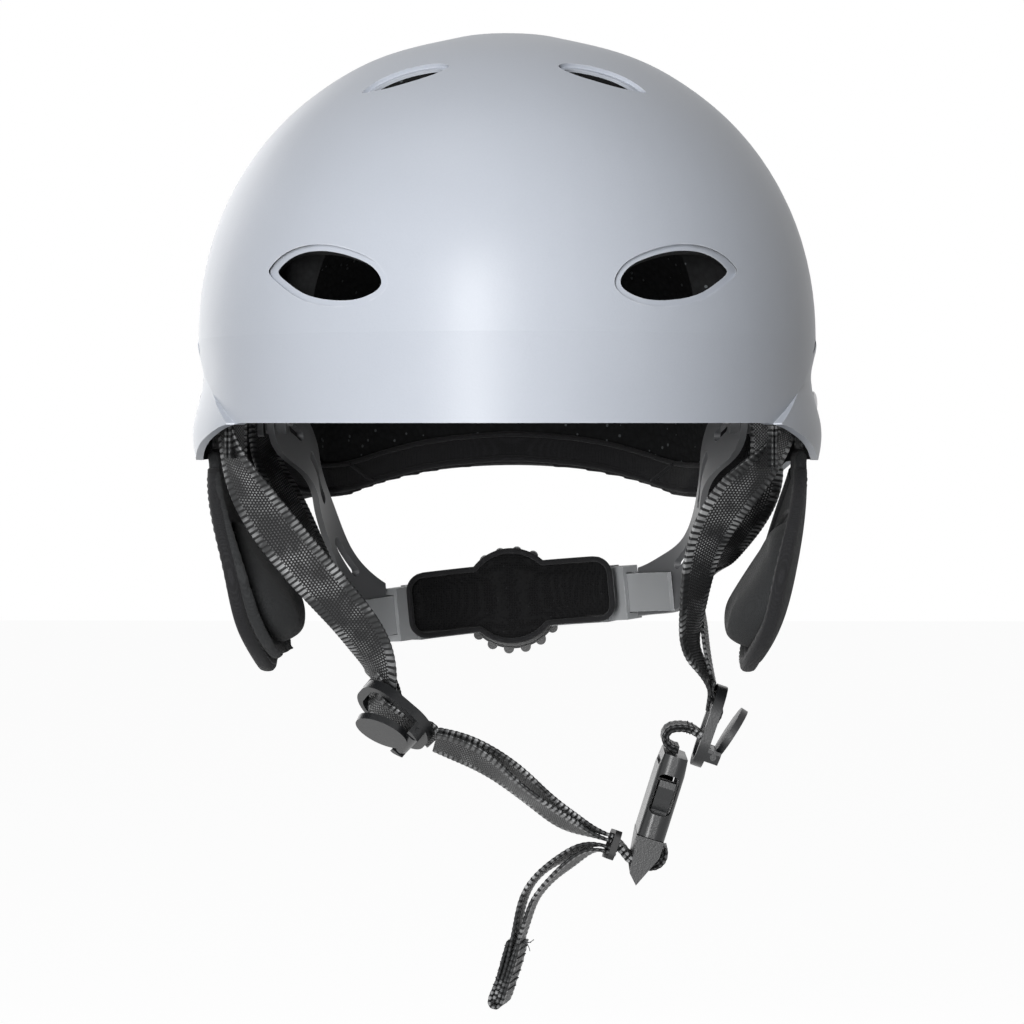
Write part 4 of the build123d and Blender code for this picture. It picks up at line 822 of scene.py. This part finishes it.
# %% Loop through the ladder
buckle_origin = Vector((0.464 * half_breadth, -0.036 * length_front, -1.505 * drop)) * mm
buckle_lean = math.radians(17.4)
buckle_up = Vector((math.sin(buckle_lean), 0, math.cos(buckle_lean)))
buckle_side = Vector((0, -1, 0))
buckle_depth = buckle_up.cross(buckle_side)
buckle_thickness, buckle_step = 10.4, 18.0
ladder_shares = [
    (-1.05, -0.38), (-0.74, -0.48), (-0.4, -0.6), (0.0, -0.63),
    (0.4, -0.6), (0.64, -0.47), (0.68, -0.31), (0.61, -0.18),
]


def buckle_point(across, deep, up):
    return buckle_origin + (buckle_side * across + buckle_depth * deep + buckle_up * up) * mm


ladder_stations = [
    tuple(buckle_point(0, buckle_thickness * deep, buckle_step * up)) + (0.0, -1.0, 0.0)
    for deep, up in ladder_shares
]
for label, lift in (("upper", ply_lift), ("lower", -ply_lift)):
    piece = ribbed_strap(
        "ladder_loop_" + label, ladder_stations, black_webbing, thickness=ply_thickness, lift=lift
    )
    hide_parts("ladder_loop")
    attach(piece, "buckle_insert")
print("loop at", [round(v, 4) for v in buckle_origin])

# %% [markdown]
# Sewn ends are held by bar tacks: short, close stitches of thick thread. Each stitch is a small bowed
# tube whose ends sink into the cloth, and all the stitches of one seam are one mesh.

# %% Stitches
stitch_shape = ((0, -0.6, 0.5), (0.14, 0.45, 0.9), (0.5, 0.75, 1.0), (0.86, 0.45, 0.9), (1, -0.6, 0.5))


def stitches(name, starts, ends, normals, radius, body):
    """One mesh of bowed stitches from each start to its end, standing up along the normal."""
    points, faces = [], []
    for a, b, n in zip(starts, ends, normals):
        a, b, n = Vector(a), Vector(b), Vector(n).normalized()
        along = (b - a).normalized()
        out = along.cross(n)
        base = len(points)
        for share, high, scale in stitch_shape:
            middle = a.lerp(b, share) + n * high * radius
            for k in range(6):
                turn = k * math.pi / 3
                points.append(middle + (n * math.cos(turn) + out * math.sin(turn)) * radius * scale)
        for r in range(4):
            for k in range(6):
                i, j = base + 6 * r + k, base + 6 * r + (k + 1) % 6
                faces.append((i, j, j + 6, i + 6))
        faces += [tuple(range(base + 5, base - 1, -1)), tuple(range(base + 24, base + 30))]
    piece = new_piece(name, points, faces, thread)
    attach(piece, body)
    return piece


def tack_rows(stations, shares, lift, width=15.0, count=17):
    """Start, end and normal of stitches in rows across a strap at shares of its length."""
    centre, across, face = strap_frame(stations)
    starts, ends, normals = [], [], []
    for share in shares:
        i = int(share * (len(centre) - 1))
        for k in range(count):
            low, high = (k / count - 0.5) * width, ((k + 0.8) / count - 0.5) * width
            for sign in (1, -1):
                top = centre[i] + face[i] * lift * mm * sign
                starts.append(top + across[i] * low * mm)
                ends.append(top + across[i] * high * mm)
                normals.append(face[i] * sign)
    return starts, ends, normals


hem_middle = [tail_spot(back, 0.0) + tuple(tip_across) for back in (22, 16, 10, 4, 0)]
seams = {
    "tail_end_stitches": (hem_middle, (0.06, 0.2, 0.34, 0.48, 0.62, 0.76), 2.85, "buckle_insert"),
    "buckle_loop_stitches": (loop_stations, (0.2, 0.27), 1.42, "helmet"),
}
for name, (stations, shares, lift, body) in seams.items():
    stitches(name, *tack_rows(stations, shares, lift), 0.22 * mm, body)
print("seams:", list(seams))

# %% [markdown]
# ## Tubes for piping and welts
# Piping is a cord wrapped in cloth and sewn along an edge. A tube is swept along a closed or open line,
# with its frame carried from point to point so that it doesn't spin.

# %% Swept section
def swept(name, line, sections, material, body, closed=False):
    """Mesh through the same section at each point; sections(i) gives offsets in the point's frame."""
    line = np.array([tuple(p) for p in line])
    around = np.roll(line, -1, 0) - np.roll(line, 1, 0) if closed else np.gradient(line, axis=0)
    along = unit(around)
    points = []
    for i, (p, t) in enumerate(zip(line, along)):
        points += [Vector(p) + offset for offset in sections(i, Vector(t))]
    faces = tube_faces(len(line), len(points) // len(line), closed)
    piece = new_piece(name, points, faces, material)
    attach(piece, body)
    return piece


def round_section(radius, reference, sides=10):
    """Circle in the plane square to the line, started from a reference direction."""
    def section(i, along):
        first = (reference - along * reference.dot(along)).normalized()
        second = along.cross(first)
        turns = [2 * math.pi * k / sides for k in range(sides)]
        return [(first * math.cos(t) + second * math.sin(t)) * radius for t in turns]
    return section


print("sweep ready")

# %% [markdown]
# A few yarns have worked loose at the top of the hem, where the cut edge of the webbing shows.

# %% Loose yarns
yarn_radius, yarn_step = 0.16, 0.3
yarns = ((23, -2.4, 2.6, -1.0), (22, -2.2, 3.4, 1.2), (23, -2.6, 3.0, -2.4), (3, 2.6, 1.2, 0.6))
for number, (back, out, reach, droop) in enumerate(yarns):
    root = Vector(tail_spot(back, out))
    outward, upward = Vector(tip_face) * (1 if out > 0 else -1), -Vector(tip_along)
    line = smooth(
        [
            tuple(root - outward * mm),
            tuple(root + outward * 0.5 * reach * mm + upward * 0.6 * mm),
            tuple(root + outward * reach * mm - upward * droop * mm),
        ],
        yarn_step * mm,
    )
    section = round_section(yarn_radius * mm, Vector((0, -1, 0)), 6)
    swept(f"loose_yarn_{number}", line, section, thread, "buckle_insert")
print("loose yarns added")

# %% [markdown]
# ## Padding
# A CAD pad is a plain closed solid. Its surface is copied as an even net of small faces, filled by
# Blender's Cloth with a little air pressure, and kept close to the solid by a cap on each point's move.
# The side that lies against a hard part is held still.

# %% Even copy of a solid
scene = bpy.context.scene


def baked(piece):
    """Mesh of a piece with its modifiers applied."""
    bpy.context.view_layer.update()
    graph = bpy.context.evaluated_depsgraph_get()
    return bpy.data.meshes.new_from_object(piece.evaluated_get(graph))


def even_copy(name, node, voxel, material, sink=0.0):
    """Voxel-remeshed copy of a node's mesh, optionally sunk a little along its normals."""
    mesh = nodes[node].data.copy()
    mesh.materials.clear()
    piece = bpy.data.objects.new(name, mesh)
    scene.collection.objects.link(piece)
    remesh = piece.modifiers.new("even", "REMESH")
    remesh.mode = "VOXEL"
    remesh.voxel_size = voxel
    piece.data = baked(piece)
    piece.modifiers.clear()
    piece.data.materials.clear()
    piece.data.materials.append(material)
    piece.data.polygons.foreach_set("use_smooth", [True] * len(piece.data.polygons))
    if sink:
        places, normals = points_of(piece.data), normals_of(piece.data)
        set_points(piece.data, places - normals * sink)
    return piece


def points_of(mesh):
    flat = np.zeros(len(mesh.vertices) * 3)
    mesh.vertices.foreach_get("co", flat)
    return flat.reshape(-1, 3)


def normals_of(mesh):
    flat = np.zeros(len(mesh.vertices) * 3)
    mesh.vertex_normals.foreach_get("vector", flat)
    return flat.reshape(-1, 3)


def set_points(mesh, places):
    mesh.vertices.foreach_set("co", np.asarray(places, np.float32).ravel())
    mesh.update()


def relax(mesh, rounds, share=0.5):
    """Moves each point towards the mean of its neighbours."""
    ends = np.zeros(len(mesh.edges) * 2, int)
    mesh.edges.foreach_get("vertices", ends)
    a, b = ends[0::2], ends[1::2]
    count = np.bincount(ends, minlength=len(mesh.vertices))[:, None]
    places = points_of(mesh)
    for _ in range(rounds):
        total = np.zeros_like(places)
        np.add.at(total, a, places[b])
        np.add.at(total, b, places[a])
        places += share * (total / count - places)
    set_points(mesh, places)


print("padding helpers ready")

# %% Pads to fill
pad_plan = {
    "brow_pad": ("brow_pad_cover", 3.0, (0, -1, 0), 1.4, "helmet"),
    "nape_pad": ("nape_pad_cover", 3.0, (0, 1, 0), 1.4, "helmet"),
    "crown_pad": ("crown_pad_cover", 3.0, (0, 0, 1), 1.6, "helmet"),
    "side_pad_left": ("side_pad_left_cover", 3.0, (-1, 0, 0), 1.4, "helmet"),
    "side_pad_right": ("side_pad_right_cover", 3.0, (1, 0, 0), 1.4, "helmet"),
    "ear_cushion_left": ("ear_cushion_left_cover", 1.7, (-1, 0, 0), 1.8, "flap_left"),
    "ear_cushion_right": ("ear_cushion_right_cover", 1.7, (1, 0, 0), 1.8, "flap_right"),
    "cradle_pad": ("cradle_pad_cover", 1.7, (0, 1, 0), 1.2, "yoke"),
}
pads = {}
for node, (name, voxel, back, cap, body) in pad_plan.items():
    cover = flap_fabric if node.startswith("ear") else padding_fabric
    pads[node] = even_copy(name, node, voxel * mm, cover, sink=0.5 * mm)
print("pads:", {n: len(p.data.vertices) for n, p in pads.items()})

# %% Fill them with the Cloth modifier
pressure, fill_frames, held_share = 4.0, 20, 1.8
rest = {node: points_of(piece.data) for node, piece in pads.items()}
for piece in pads.values():
    cloth = piece.modifiers.new("fill", "CLOTH")
    cloth.settings.use_pressure = True
    cloth.settings.uniform_pressure_force = pressure
    cloth.settings.effector_weights.gravity = 0.0
for number in range(1, fill_frames + 1):
    scene.frame_set(number)
filled = {node: baked(piece) for node, piece in pads.items()}
for node, piece in pads.items():
    piece.modifiers.clear()
    name, voxel, back, cap, body = pad_plan[node]
    move = points_of(filled[node]) - rest[node]
    size = np.linalg.norm(move, axis=1)[:, None]
    move *= np.minimum(1.0, cap * mm / np.maximum(size, 1e-9))
    facing = normals_of(piece.data) @ np.array(back, float)
    free = np.clip(1.0 - held_share * np.clip(facing, 0, 1), 0, 1)[:, None]
    set_points(piece.data, rest[node] + move * free)
    print(name, "moved at most", round(float(np.abs(move).max()) / mm, 2), "mm")
scene.frame_set(1)

# %% [markdown]
# The ear cushions have a hollow for the ear and the band pad has a sewn line round its middle disc.
# Remeshing would wipe these out, so they are pressed in after the filling.

# %% Ear hollow
hinge_x, hinge_z, flap_drop, flap_half = 107.25, -12.0, 76.0, 39.0
ear_y, ear_z, ear_half_length, ear_half_height = 1.0, -56.0, 19.0, 15.0
ear_depth, skin_start, skin_end = 5.5, 9.0, 15.0
for side, node in ((-1, "ear_cushion_left"), (1, "ear_cushion_right")):
    mesh = pads[node].data
    relax(mesh, 4)
    places = points_of(mesh)
    y = (places[:, 1] / mm - ear_y) / ear_half_length
    z = (places[:, 2] / mm - ear_z) / ear_half_height
    inward = hinge_x - skin_start - side * places[:, 0] / mm
    inner = np.clip(inward / (skin_end - skin_start), 0, 1)
    dip = ear_depth * np.exp(-(y**2 + z**2) ** 1.5) * inner
    places[:, 0] += side * dip * mm
    set_points(mesh, places)
print("ear hollows pressed in")

# %% Sewn line of the band pad
cradle_y, cradle_z, cradle_roll = 43.0, -72.0, math.radians(5.5)
pad_half_width, pad_half_height, pad_disc, pad_corner, pad_lift = 41.0, 13.2, 19.2, 6.0, 2.9
pad_front = 59.6
seam_inset, seam_depth, seam_width = 4.2, 0.9, 1.5


def cradle_place(a, b, radius):
    """Point of the band pad in the common frame: a across, b up, at a radius about the band's axis."""
    y = math.sqrt(radius**2 - a**2)
    x = a * math.cos(cradle_roll) - b * math.sin(cradle_roll)
    z = a * math.sin(cradle_roll) + b * math.cos(cradle_roll)
    return Vector((x, y + cradle_y, z + cradle_z)) * mm


def pad_edge(turn, inset):
    """Distance from the pad's middle to its outline in a direction, less an inset."""
    c, s = math.cos(turn), math.sin(turn)
    low, high = 0.0, 60.0
    for _ in range(24):
        r = (low + high) / 2
        dx = max(abs(r * c) - (pad_half_width - inset - pad_corner), 0)
        dy = max(abs(r * s) - (pad_half_height - inset - pad_corner), 0)
        inside = math.hypot(dx, dy) < pad_corner or r < pad_disc - inset
        low, high = (r, high) if inside else (low, r)
    return low


def pad_outline(inset, radius, count=220):
    line = []
    for k in range(count):
        turn = 2 * math.pi * k / count
        r = pad_edge(turn, inset)
        line.append(cradle_place(r * math.cos(turn), r * math.sin(turn) + pad_lift, radius))
    return line


def even_line(line, count, closed=True):
    """The same line with evenly spaced points."""
    points = np.array([tuple(p) for p in line])
    if closed:
        points = np.vstack([points, points[:1]])
    run = np.concatenate([[0], np.cumsum(np.linalg.norm(np.diff(points, axis=0), axis=1))])
    at = np.linspace(0, run[-1], count + 1 if closed else count)[: count if closed else None]
    return [Vector([np.interp(v, run, points[:, k]) for k in range(3)]) for v in at]


mesh = pads["cradle_pad"].data
relax(mesh, 2)
seam = np.array([tuple(p) for p in even_line(pad_outline(seam_inset, pad_front), 300)])
places, normals = points_of(mesh), normals_of(mesh)
gap = np.min(np.linalg.norm(places[:, None, :] - seam[None, :, :], axis=2), axis=1)
facing = np.clip(-normals[:, 1], 0, 1)
press = seam_depth * mm * np.exp(-(gap / (seam_width * mm)) ** 2) * facing
set_points(mesh, places - normals * press[:, None])
print("seam length", round(float(np.linalg.norm(np.diff(seam, axis=0), axis=1).sum()) / mm), "mm")

# %% Finish the pads
for node, piece in pads.items():
    name, voxel, back, cap, body = pad_plan[node]
    if not node.startswith("ear") and node != "cradle_pad":
        relax(piece.data, 3)
    fine = piece.modifiers.new("fine", "SUBSURF")
    fine.levels = fine.render_levels = 1
    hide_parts(node)
    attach(piece, body)
print("pads finished")

# %% [markdown]
# A welt runs round the front edge of the band pad: a covered cord that keeps the edge crisp.

# %% Welt of the band pad
welt_inset, welt_proud, welt_radius = 1.2, 0.4, 1.15
welt_line = even_line(pad_outline(welt_inset, pad_front + welt_proud), 260)
section = round_section(welt_radius * mm, Vector((0, -1, 0)))
welt = swept("cradle_pad_welt", welt_line, section, binding, "yoke", closed=True)
print("welt points", len(welt_line))

# %% [markdown]
# ## Ear flaps
# Each flap is a semi-stiff panel covered in cloth. Its edge is bound with a tape that wraps both faces,
# and a row of stitches holds the tape. The panel is curved two ways, so a point of it is worked out from
# its height and its distance along the head.

# %% Shape of a flap
profile_shares = ((0.0, 0.0), (0.24, 0.01), (0.54, 0.066), (0.83, 0.16), (0.99, 0.266), (1.06, 0.31))
flap_profile = smooth([(share_in, 0.0, -drop_share) for drop_share, share_in in profile_shares], 0.01)
flap_thick, bend_x, flap_lean = 4.3, -30.0, math.radians(2.5)
outline_shares = [
    (-0.36, 0.06), (-0.78, 0.26), (-0.97, 0.52), (-0.84, 0.8), (-0.42, 0.98), (0.03, 1.03),
    (0.46, 0.99), (0.93, 0.8), (1.05, 0.52), (0.82, 0.24), (0.36, 0.06),
]


def flap_place(side, y, z, depth):
    """Point of a flap, depth mm inside its outer face, y along the head and z up, in mm."""
    share = np.interp((hinge_z - z) / flap_drop, -flap_profile[:, 2], flap_profile[:, 0])
    x = hinge_x + flap_thick / 2 - depth - flap_drop * share
    turn = math.asin(max(-1.0, min(1.0, y / (x - bend_x))))
    x = bend_x + (x - bend_x) * math.cos(turn)
    dx, dz = x - hinge_x, z - hinge_z
    leaned_x = hinge_x + dx * math.cos(flap_lean) - dz * math.sin(flap_lean)
    leaned_z = hinge_z + dx * math.sin(flap_lean) + dz * math.cos(flap_lean)
    return Vector((side * leaned_x, y, leaned_z)) * mm


flap_edge = smooth([(a * flap_half, hinge_z - d * flap_drop, 0.0) for a, d in outline_shares], 1.2)
print("edge points", len(flap_edge))

# %% Panels, tape and stitches
tape_shape = [
    (-4.6, 1.04), (-2.2, 1.16), (-0.6, 1.12), (0.15, 0.85), (0.45, 0.4), (0.52, 0.0),
    (0.45, -0.4), (0.15, -0.85), (-0.6, -1.12), (-2.2, -1.16), (-4.6, -1.04),
]
seam_from_edge, seam_share, seam_radius = 2.3, 1.14, 0.16
for side, label in ((-1, "left"), (1, "right")):
    node, body = "ear_panel_" + label, "flap_" + label
    panel = even_copy(node + "_cover", node, 1.3 * mm, flap_fabric)
    relax(panel.data, 3)
    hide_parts(node)
    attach(panel, body)
    half = flap_thick / 2
    outer = [flap_place(side, y, z, 0.0) for y, z, _ in flap_edge]
    inner = [flap_place(side, y, z, flap_thick) for y, z, _ in flap_edge]
    line = [(a + b) / 2 for a, b in zip(outer, inner)]
    normals = [(a - b).normalized() for a, b in zip(outer, inner)]

    def outward(i, along):
        out = along.cross(normals[i]).normalized()
        opposite = line[(i + len(line) // 2) % len(line)]
        return -out if out.dot(line[i] - opposite) < 0 else out

    def tape(i, along):
        out = outward(i, along)
        return [out * u * mm + normals[i] * v * half * mm for u, v in tape_shape]

    edge = swept(node + "_binding", line, tape, binding, body)
    starts, ends, ups = [], [], []
    for i in range(2, len(line) - 4, 3):
        for sign in (1, -1):
            out = outward(i, (line[i + 2] - line[i]).normalized())
            shift = normals[i] * sign * half * seam_share * mm - out * seam_from_edge * mm
            starts.append(line[i] + shift)
            ends.append(line[i + 2] + shift)
            ups.append(normals[i] * sign)
    stitches(node + "_stitches", starts, ends, ups, seam_radius * mm, body)
print("ear flaps dressed")

# %% [markdown]
# A line of piping closes the seam where each cushion meets its panel.

# %% Cushion piping
piping_points, piping_radius, piping_lift = 160, 0.85, 0.75
for side, label in ((-1, "left"), (1, "right")):
    line = []
    for k in range(piping_points):
        turn = 2 * math.pi * k / piping_points
        y = flap_half / 12 + flap_half * 0.86 * math.cos(turn)
        z = hinge_z - flap_drop * (0.615 - 0.35 * math.sin(turn))
        line.append(flap_place(side, y, z, flap_thick + piping_lift))
    section = round_section(piping_radius * mm, Vector((side, 0, 0)))
    pipe = swept(
        f"ear_cushion_{label}_piping", line, section, binding, "flap_" + label, closed=True
    )
print("piping sewn on")

# %% [markdown]
# Each flap hangs from a stiff webbing tab, woven like the straps but wider.

# %% Flap tabs
flap_tab_x, flap_tab_width, flap_tab_thickness = 107.3, 28.0, 1.8
tab_webbing = woven("tab_webbing", 0.014, linear(14, 14, 15), linear(46, 47, 49))
for side, label in ((-1, "left"), (1, "right")):
    x = side * flap_tab_x / half_breadth
    route = [((x, 0.0, z), (0.0, side, 0.0)) for z in (0.139, 0.02, -0.094)]
    tab = ribbed_strap(
        "flap_tab_" + label + "_webbing", strap_stations(route), tab_webbing,
        width=flap_tab_width, thickness=flap_tab_thickness,
    )
    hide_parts("flap_tab_" + label)
    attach(tab, "helmet")
print("tabs woven")

# %% [markdown]
# ## Liner rim
# The lower edge of the liner is bound in cloth. The rim is copied evenly and softened, and a strip of the
# same cloth climbs the inner wall, closed on top by piping. The strip follows the liner's real surface,
# found by casting rays at the solids from the middle of the head.

# %% Soft rim
rim = even_copy("liner_rim_cover", "liner_rim", 1.5 * mm, rim_fabric)
relax(rim.data, 4)
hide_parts("liner_rim")
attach(rim, "helmet")
print("rim points", len(rim.data.vertices))

# %% Inner wall of the liner
walls = []
for node in ("foam_liner", "liner_rim"):
    mesh = nodes[node].data
    corners, sides = [v.co[:] for v in mesh.vertices], [p.vertices[:] for p in mesh.polygons]
    walls.append(BVHTree.FromPolygons(corners, sides))


def wall_distance(turn, level):
    """Distance from the head's axis to the liner's inner wall, or None where there is none."""
    direction = Vector((math.cos(turn), math.sin(turn), 0))
    hits = [tree.ray_cast(Vector((0, 0.004, level)), direction)[3] for tree in walls]
    hits = [h for h in hits if h is not None]
    return min(hits) if hits else None


def hem_level(turn):
    """Lowest level at which the wall is met in a direction."""
    level = 0.02
    while wall_distance(turn, level - 0.001) is not None and level > -0.06:
        level -= 0.001
    return level


rear_turns = np.radians(np.linspace(28, 152, 125))
rear_hem = np.array([hem_level(t) for t in rear_turns])
kernel = np.ones(7) / 7
rear_hem = np.convolve(np.pad(rear_hem, 3, mode="edge"), kernel, mode="valid")
print("rear hem from", round(rear_hem.min() / mm, 1), "to", round(rear_hem.max() / mm, 1), "mm")

# %% Rim strip and its piping
strip_foot, strip_height, piping_height = 1.2, 12.5, 2.6
strip_sink, piping_clear, seam_clear = 0.6, 0.7, 1.2


def wall_line(height, clear):
    """Line on the rear inner wall at a height above the hem, clear mm off it."""
    reach = [wall_distance(t, h + height * mm) or 0.0 for t, h in zip(rear_turns, rear_hem)]
    reach = np.array(reach)
    reach = np.where(reach > 0, reach, np.median(reach))
    reach = np.convolve(np.pad(reach, 2, mode="edge"), np.ones(5) / 5, mode="valid")
    return [
        Vector(((r - clear * mm) * math.cos(t), 0.004 + (r - clear * mm) * math.sin(t), h + height * mm))
        for r, t, h in zip(reach, rear_turns, rear_hem)
    ]


levels = np.linspace(strip_foot, strip_height, 7)
shares = [(v - strip_foot) / (strip_height - strip_foot) for v in levels]
lines = [wall_line(v, 0.5 + 0.5 * math.sin(math.pi * t)) for v, t in zip(levels, shares)]
backs = [wall_line(v, -strip_sink) for v in levels]
points = []
for i in range(len(rear_turns)):
    points += [line[i] for line in lines] + [line[i] for line in backs[::-1]]
strip = new_piece("rim_strip", points, tube_faces(len(rear_turns), 2 * len(levels)), rim_fabric)
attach(strip, "helmet")
up = Vector((0, 0, 1))
rim_pipes = (("rim_piping_upper", strip_height, 1.0), ("rim_piping_lower", piping_height, 1.15))
for name, height, radius in rim_pipes:
    pipe = swept(name, wall_line(height, piping_clear), round_section(radius * mm, up), binding, "helmet")
seam_tops, seam_feet = wall_line(strip_height, seam_clear), wall_line(piping_height, seam_clear)
for label, top, foot in (("left", 24, 31), ("right", 100, 93)):
    a, b = seam_tops[-1 - top], seam_feet[-1 - foot]
    line = [a.lerp(b, s) for s in np.linspace(0, 1, 9)]
    section = round_section(0.7 * mm, Vector((0, -1, 0)), 8)
    pipe = swept(f"rim_seam_{label}", line, section, binding, "helmet")
print("rim strip", strip_height, "mm high")

# %% [markdown]
# ## Studio
# The floor lies far below. It glows white for the camera and for rays seen through gloss or glass,
# and is mid grey to the lamps, so it keeps the object's shadow. The world is white for the same rays
# and dim for all others. A tall soft box in front gives the shell its bright band, and three weak
# ones from the left, above and behind lift its edges.

# %% Floor
def seen_rays(tree):
    """1 for rays that show the background to the camera, straight or through gloss or glass."""
    path = add(tree, "ShaderNodeLightPath").outputs
    through = math_node(tree, "MAXIMUM", path["Is Glossy Ray"], path["Is Transmission Ray"])
    return math_node(tree, "MAXIMUM", path["Is Camera Ray"], through)


floor_level = -0.62
floor_mesh = bpy.data.meshes.new("floor")
floor_corners = [(x, y, floor_level) for x, y in ((-9, -9), (9, -9), (9, 9), (-9, 9))]
floor_mesh.from_pydata(floor_corners, [], [(0, 1, 2, 3)])
floor = bpy.data.objects.new("floor", floor_mesh)
scene.collection.objects.link(floor)
floor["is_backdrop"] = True
floor_paint, tree, shader = new_material("floor_paint")
shader.inputs["Base Color"].default_value = (0.3, 0.3, 0.3, 1)
shader.inputs["Roughness"].default_value = 0.9
shader.inputs["Specular IOR Level"].default_value = 0.0
glow_strength = math_node(tree, "MULTIPLY", seen_rays(tree), 0.95)
glow = add(tree, "ShaderNodeEmission", {"Color": (1, 1, 1, 1), "Strength": glow_strength})
both = add(tree, "ShaderNodeAddShader", {0: shader.outputs[0], 1: glow.outputs[0]})
tree.links.new(both.outputs[0], tree.nodes["Material Output"].inputs["Surface"])
floor_mesh.materials.append(floor_paint)
print("floor at", floor_level, "m")

# %% World
world = bpy.data.worlds.new("studio")
scene.world = world
world.use_nodes = True
tree = world.node_tree
tree.nodes.clear()
dim = add(tree, "ShaderNodeBackground", {"Color": (0.96, 0.98, 1.0, 1), "Strength": 0.05})
white = add(tree, "ShaderNodeBackground", {"Color": (1, 1, 1, 1), "Strength": 1.0})
mix = add(tree, "ShaderNodeMixShader", {0: seen_rays(tree), 1: dim.outputs[0], 2: white.outputs[0]})
add(tree, "ShaderNodeOutputWorld", {0: mix.outputs[0]})
print("world ready")

# %% Soft boxes
def soft_box(name, place, target, size, power):
    data = bpy.data.lights.new(name, "AREA")
    data.shape = "RECTANGLE"
    data.size, data.size_y = size
    data.energy = power
    lamp = bpy.data.objects.new(name, data)
    scene.collection.objects.link(lamp)
    lamp.location = place
    lamp.rotation_mode = "QUATERNION"
    lamp.rotation_quaternion = (Vector(target) - Vector(place)).to_track_quat("-Z", "Y")
    return lamp


middle = (0, 0, 0)
soft_box("front", (-0.36, -1.75, 0.25), (0, 0, 0.02), (0.4, 1.3), 42.0)
soft_box("left", (-1.7, -0.6, 0.35), middle, (0.9, 1.2), 1.5)
soft_box("top", (-0.5, -0.3, 1.8), middle, (0.8, 0.8), 2.5)
soft_box("rear", (-0.9, 1.5, 0.3), middle, (1.0, 1.0), 6.0)
print("four soft boxes")

# %% Sizes and finish
low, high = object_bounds()
below = [round((a - b) / mm, 2) for a, b in zip(cad_low, low)]
above = [round((a - b) / mm, 2) for a, b in zip(high, cad_high)]
print("visual box grows by", below, above)
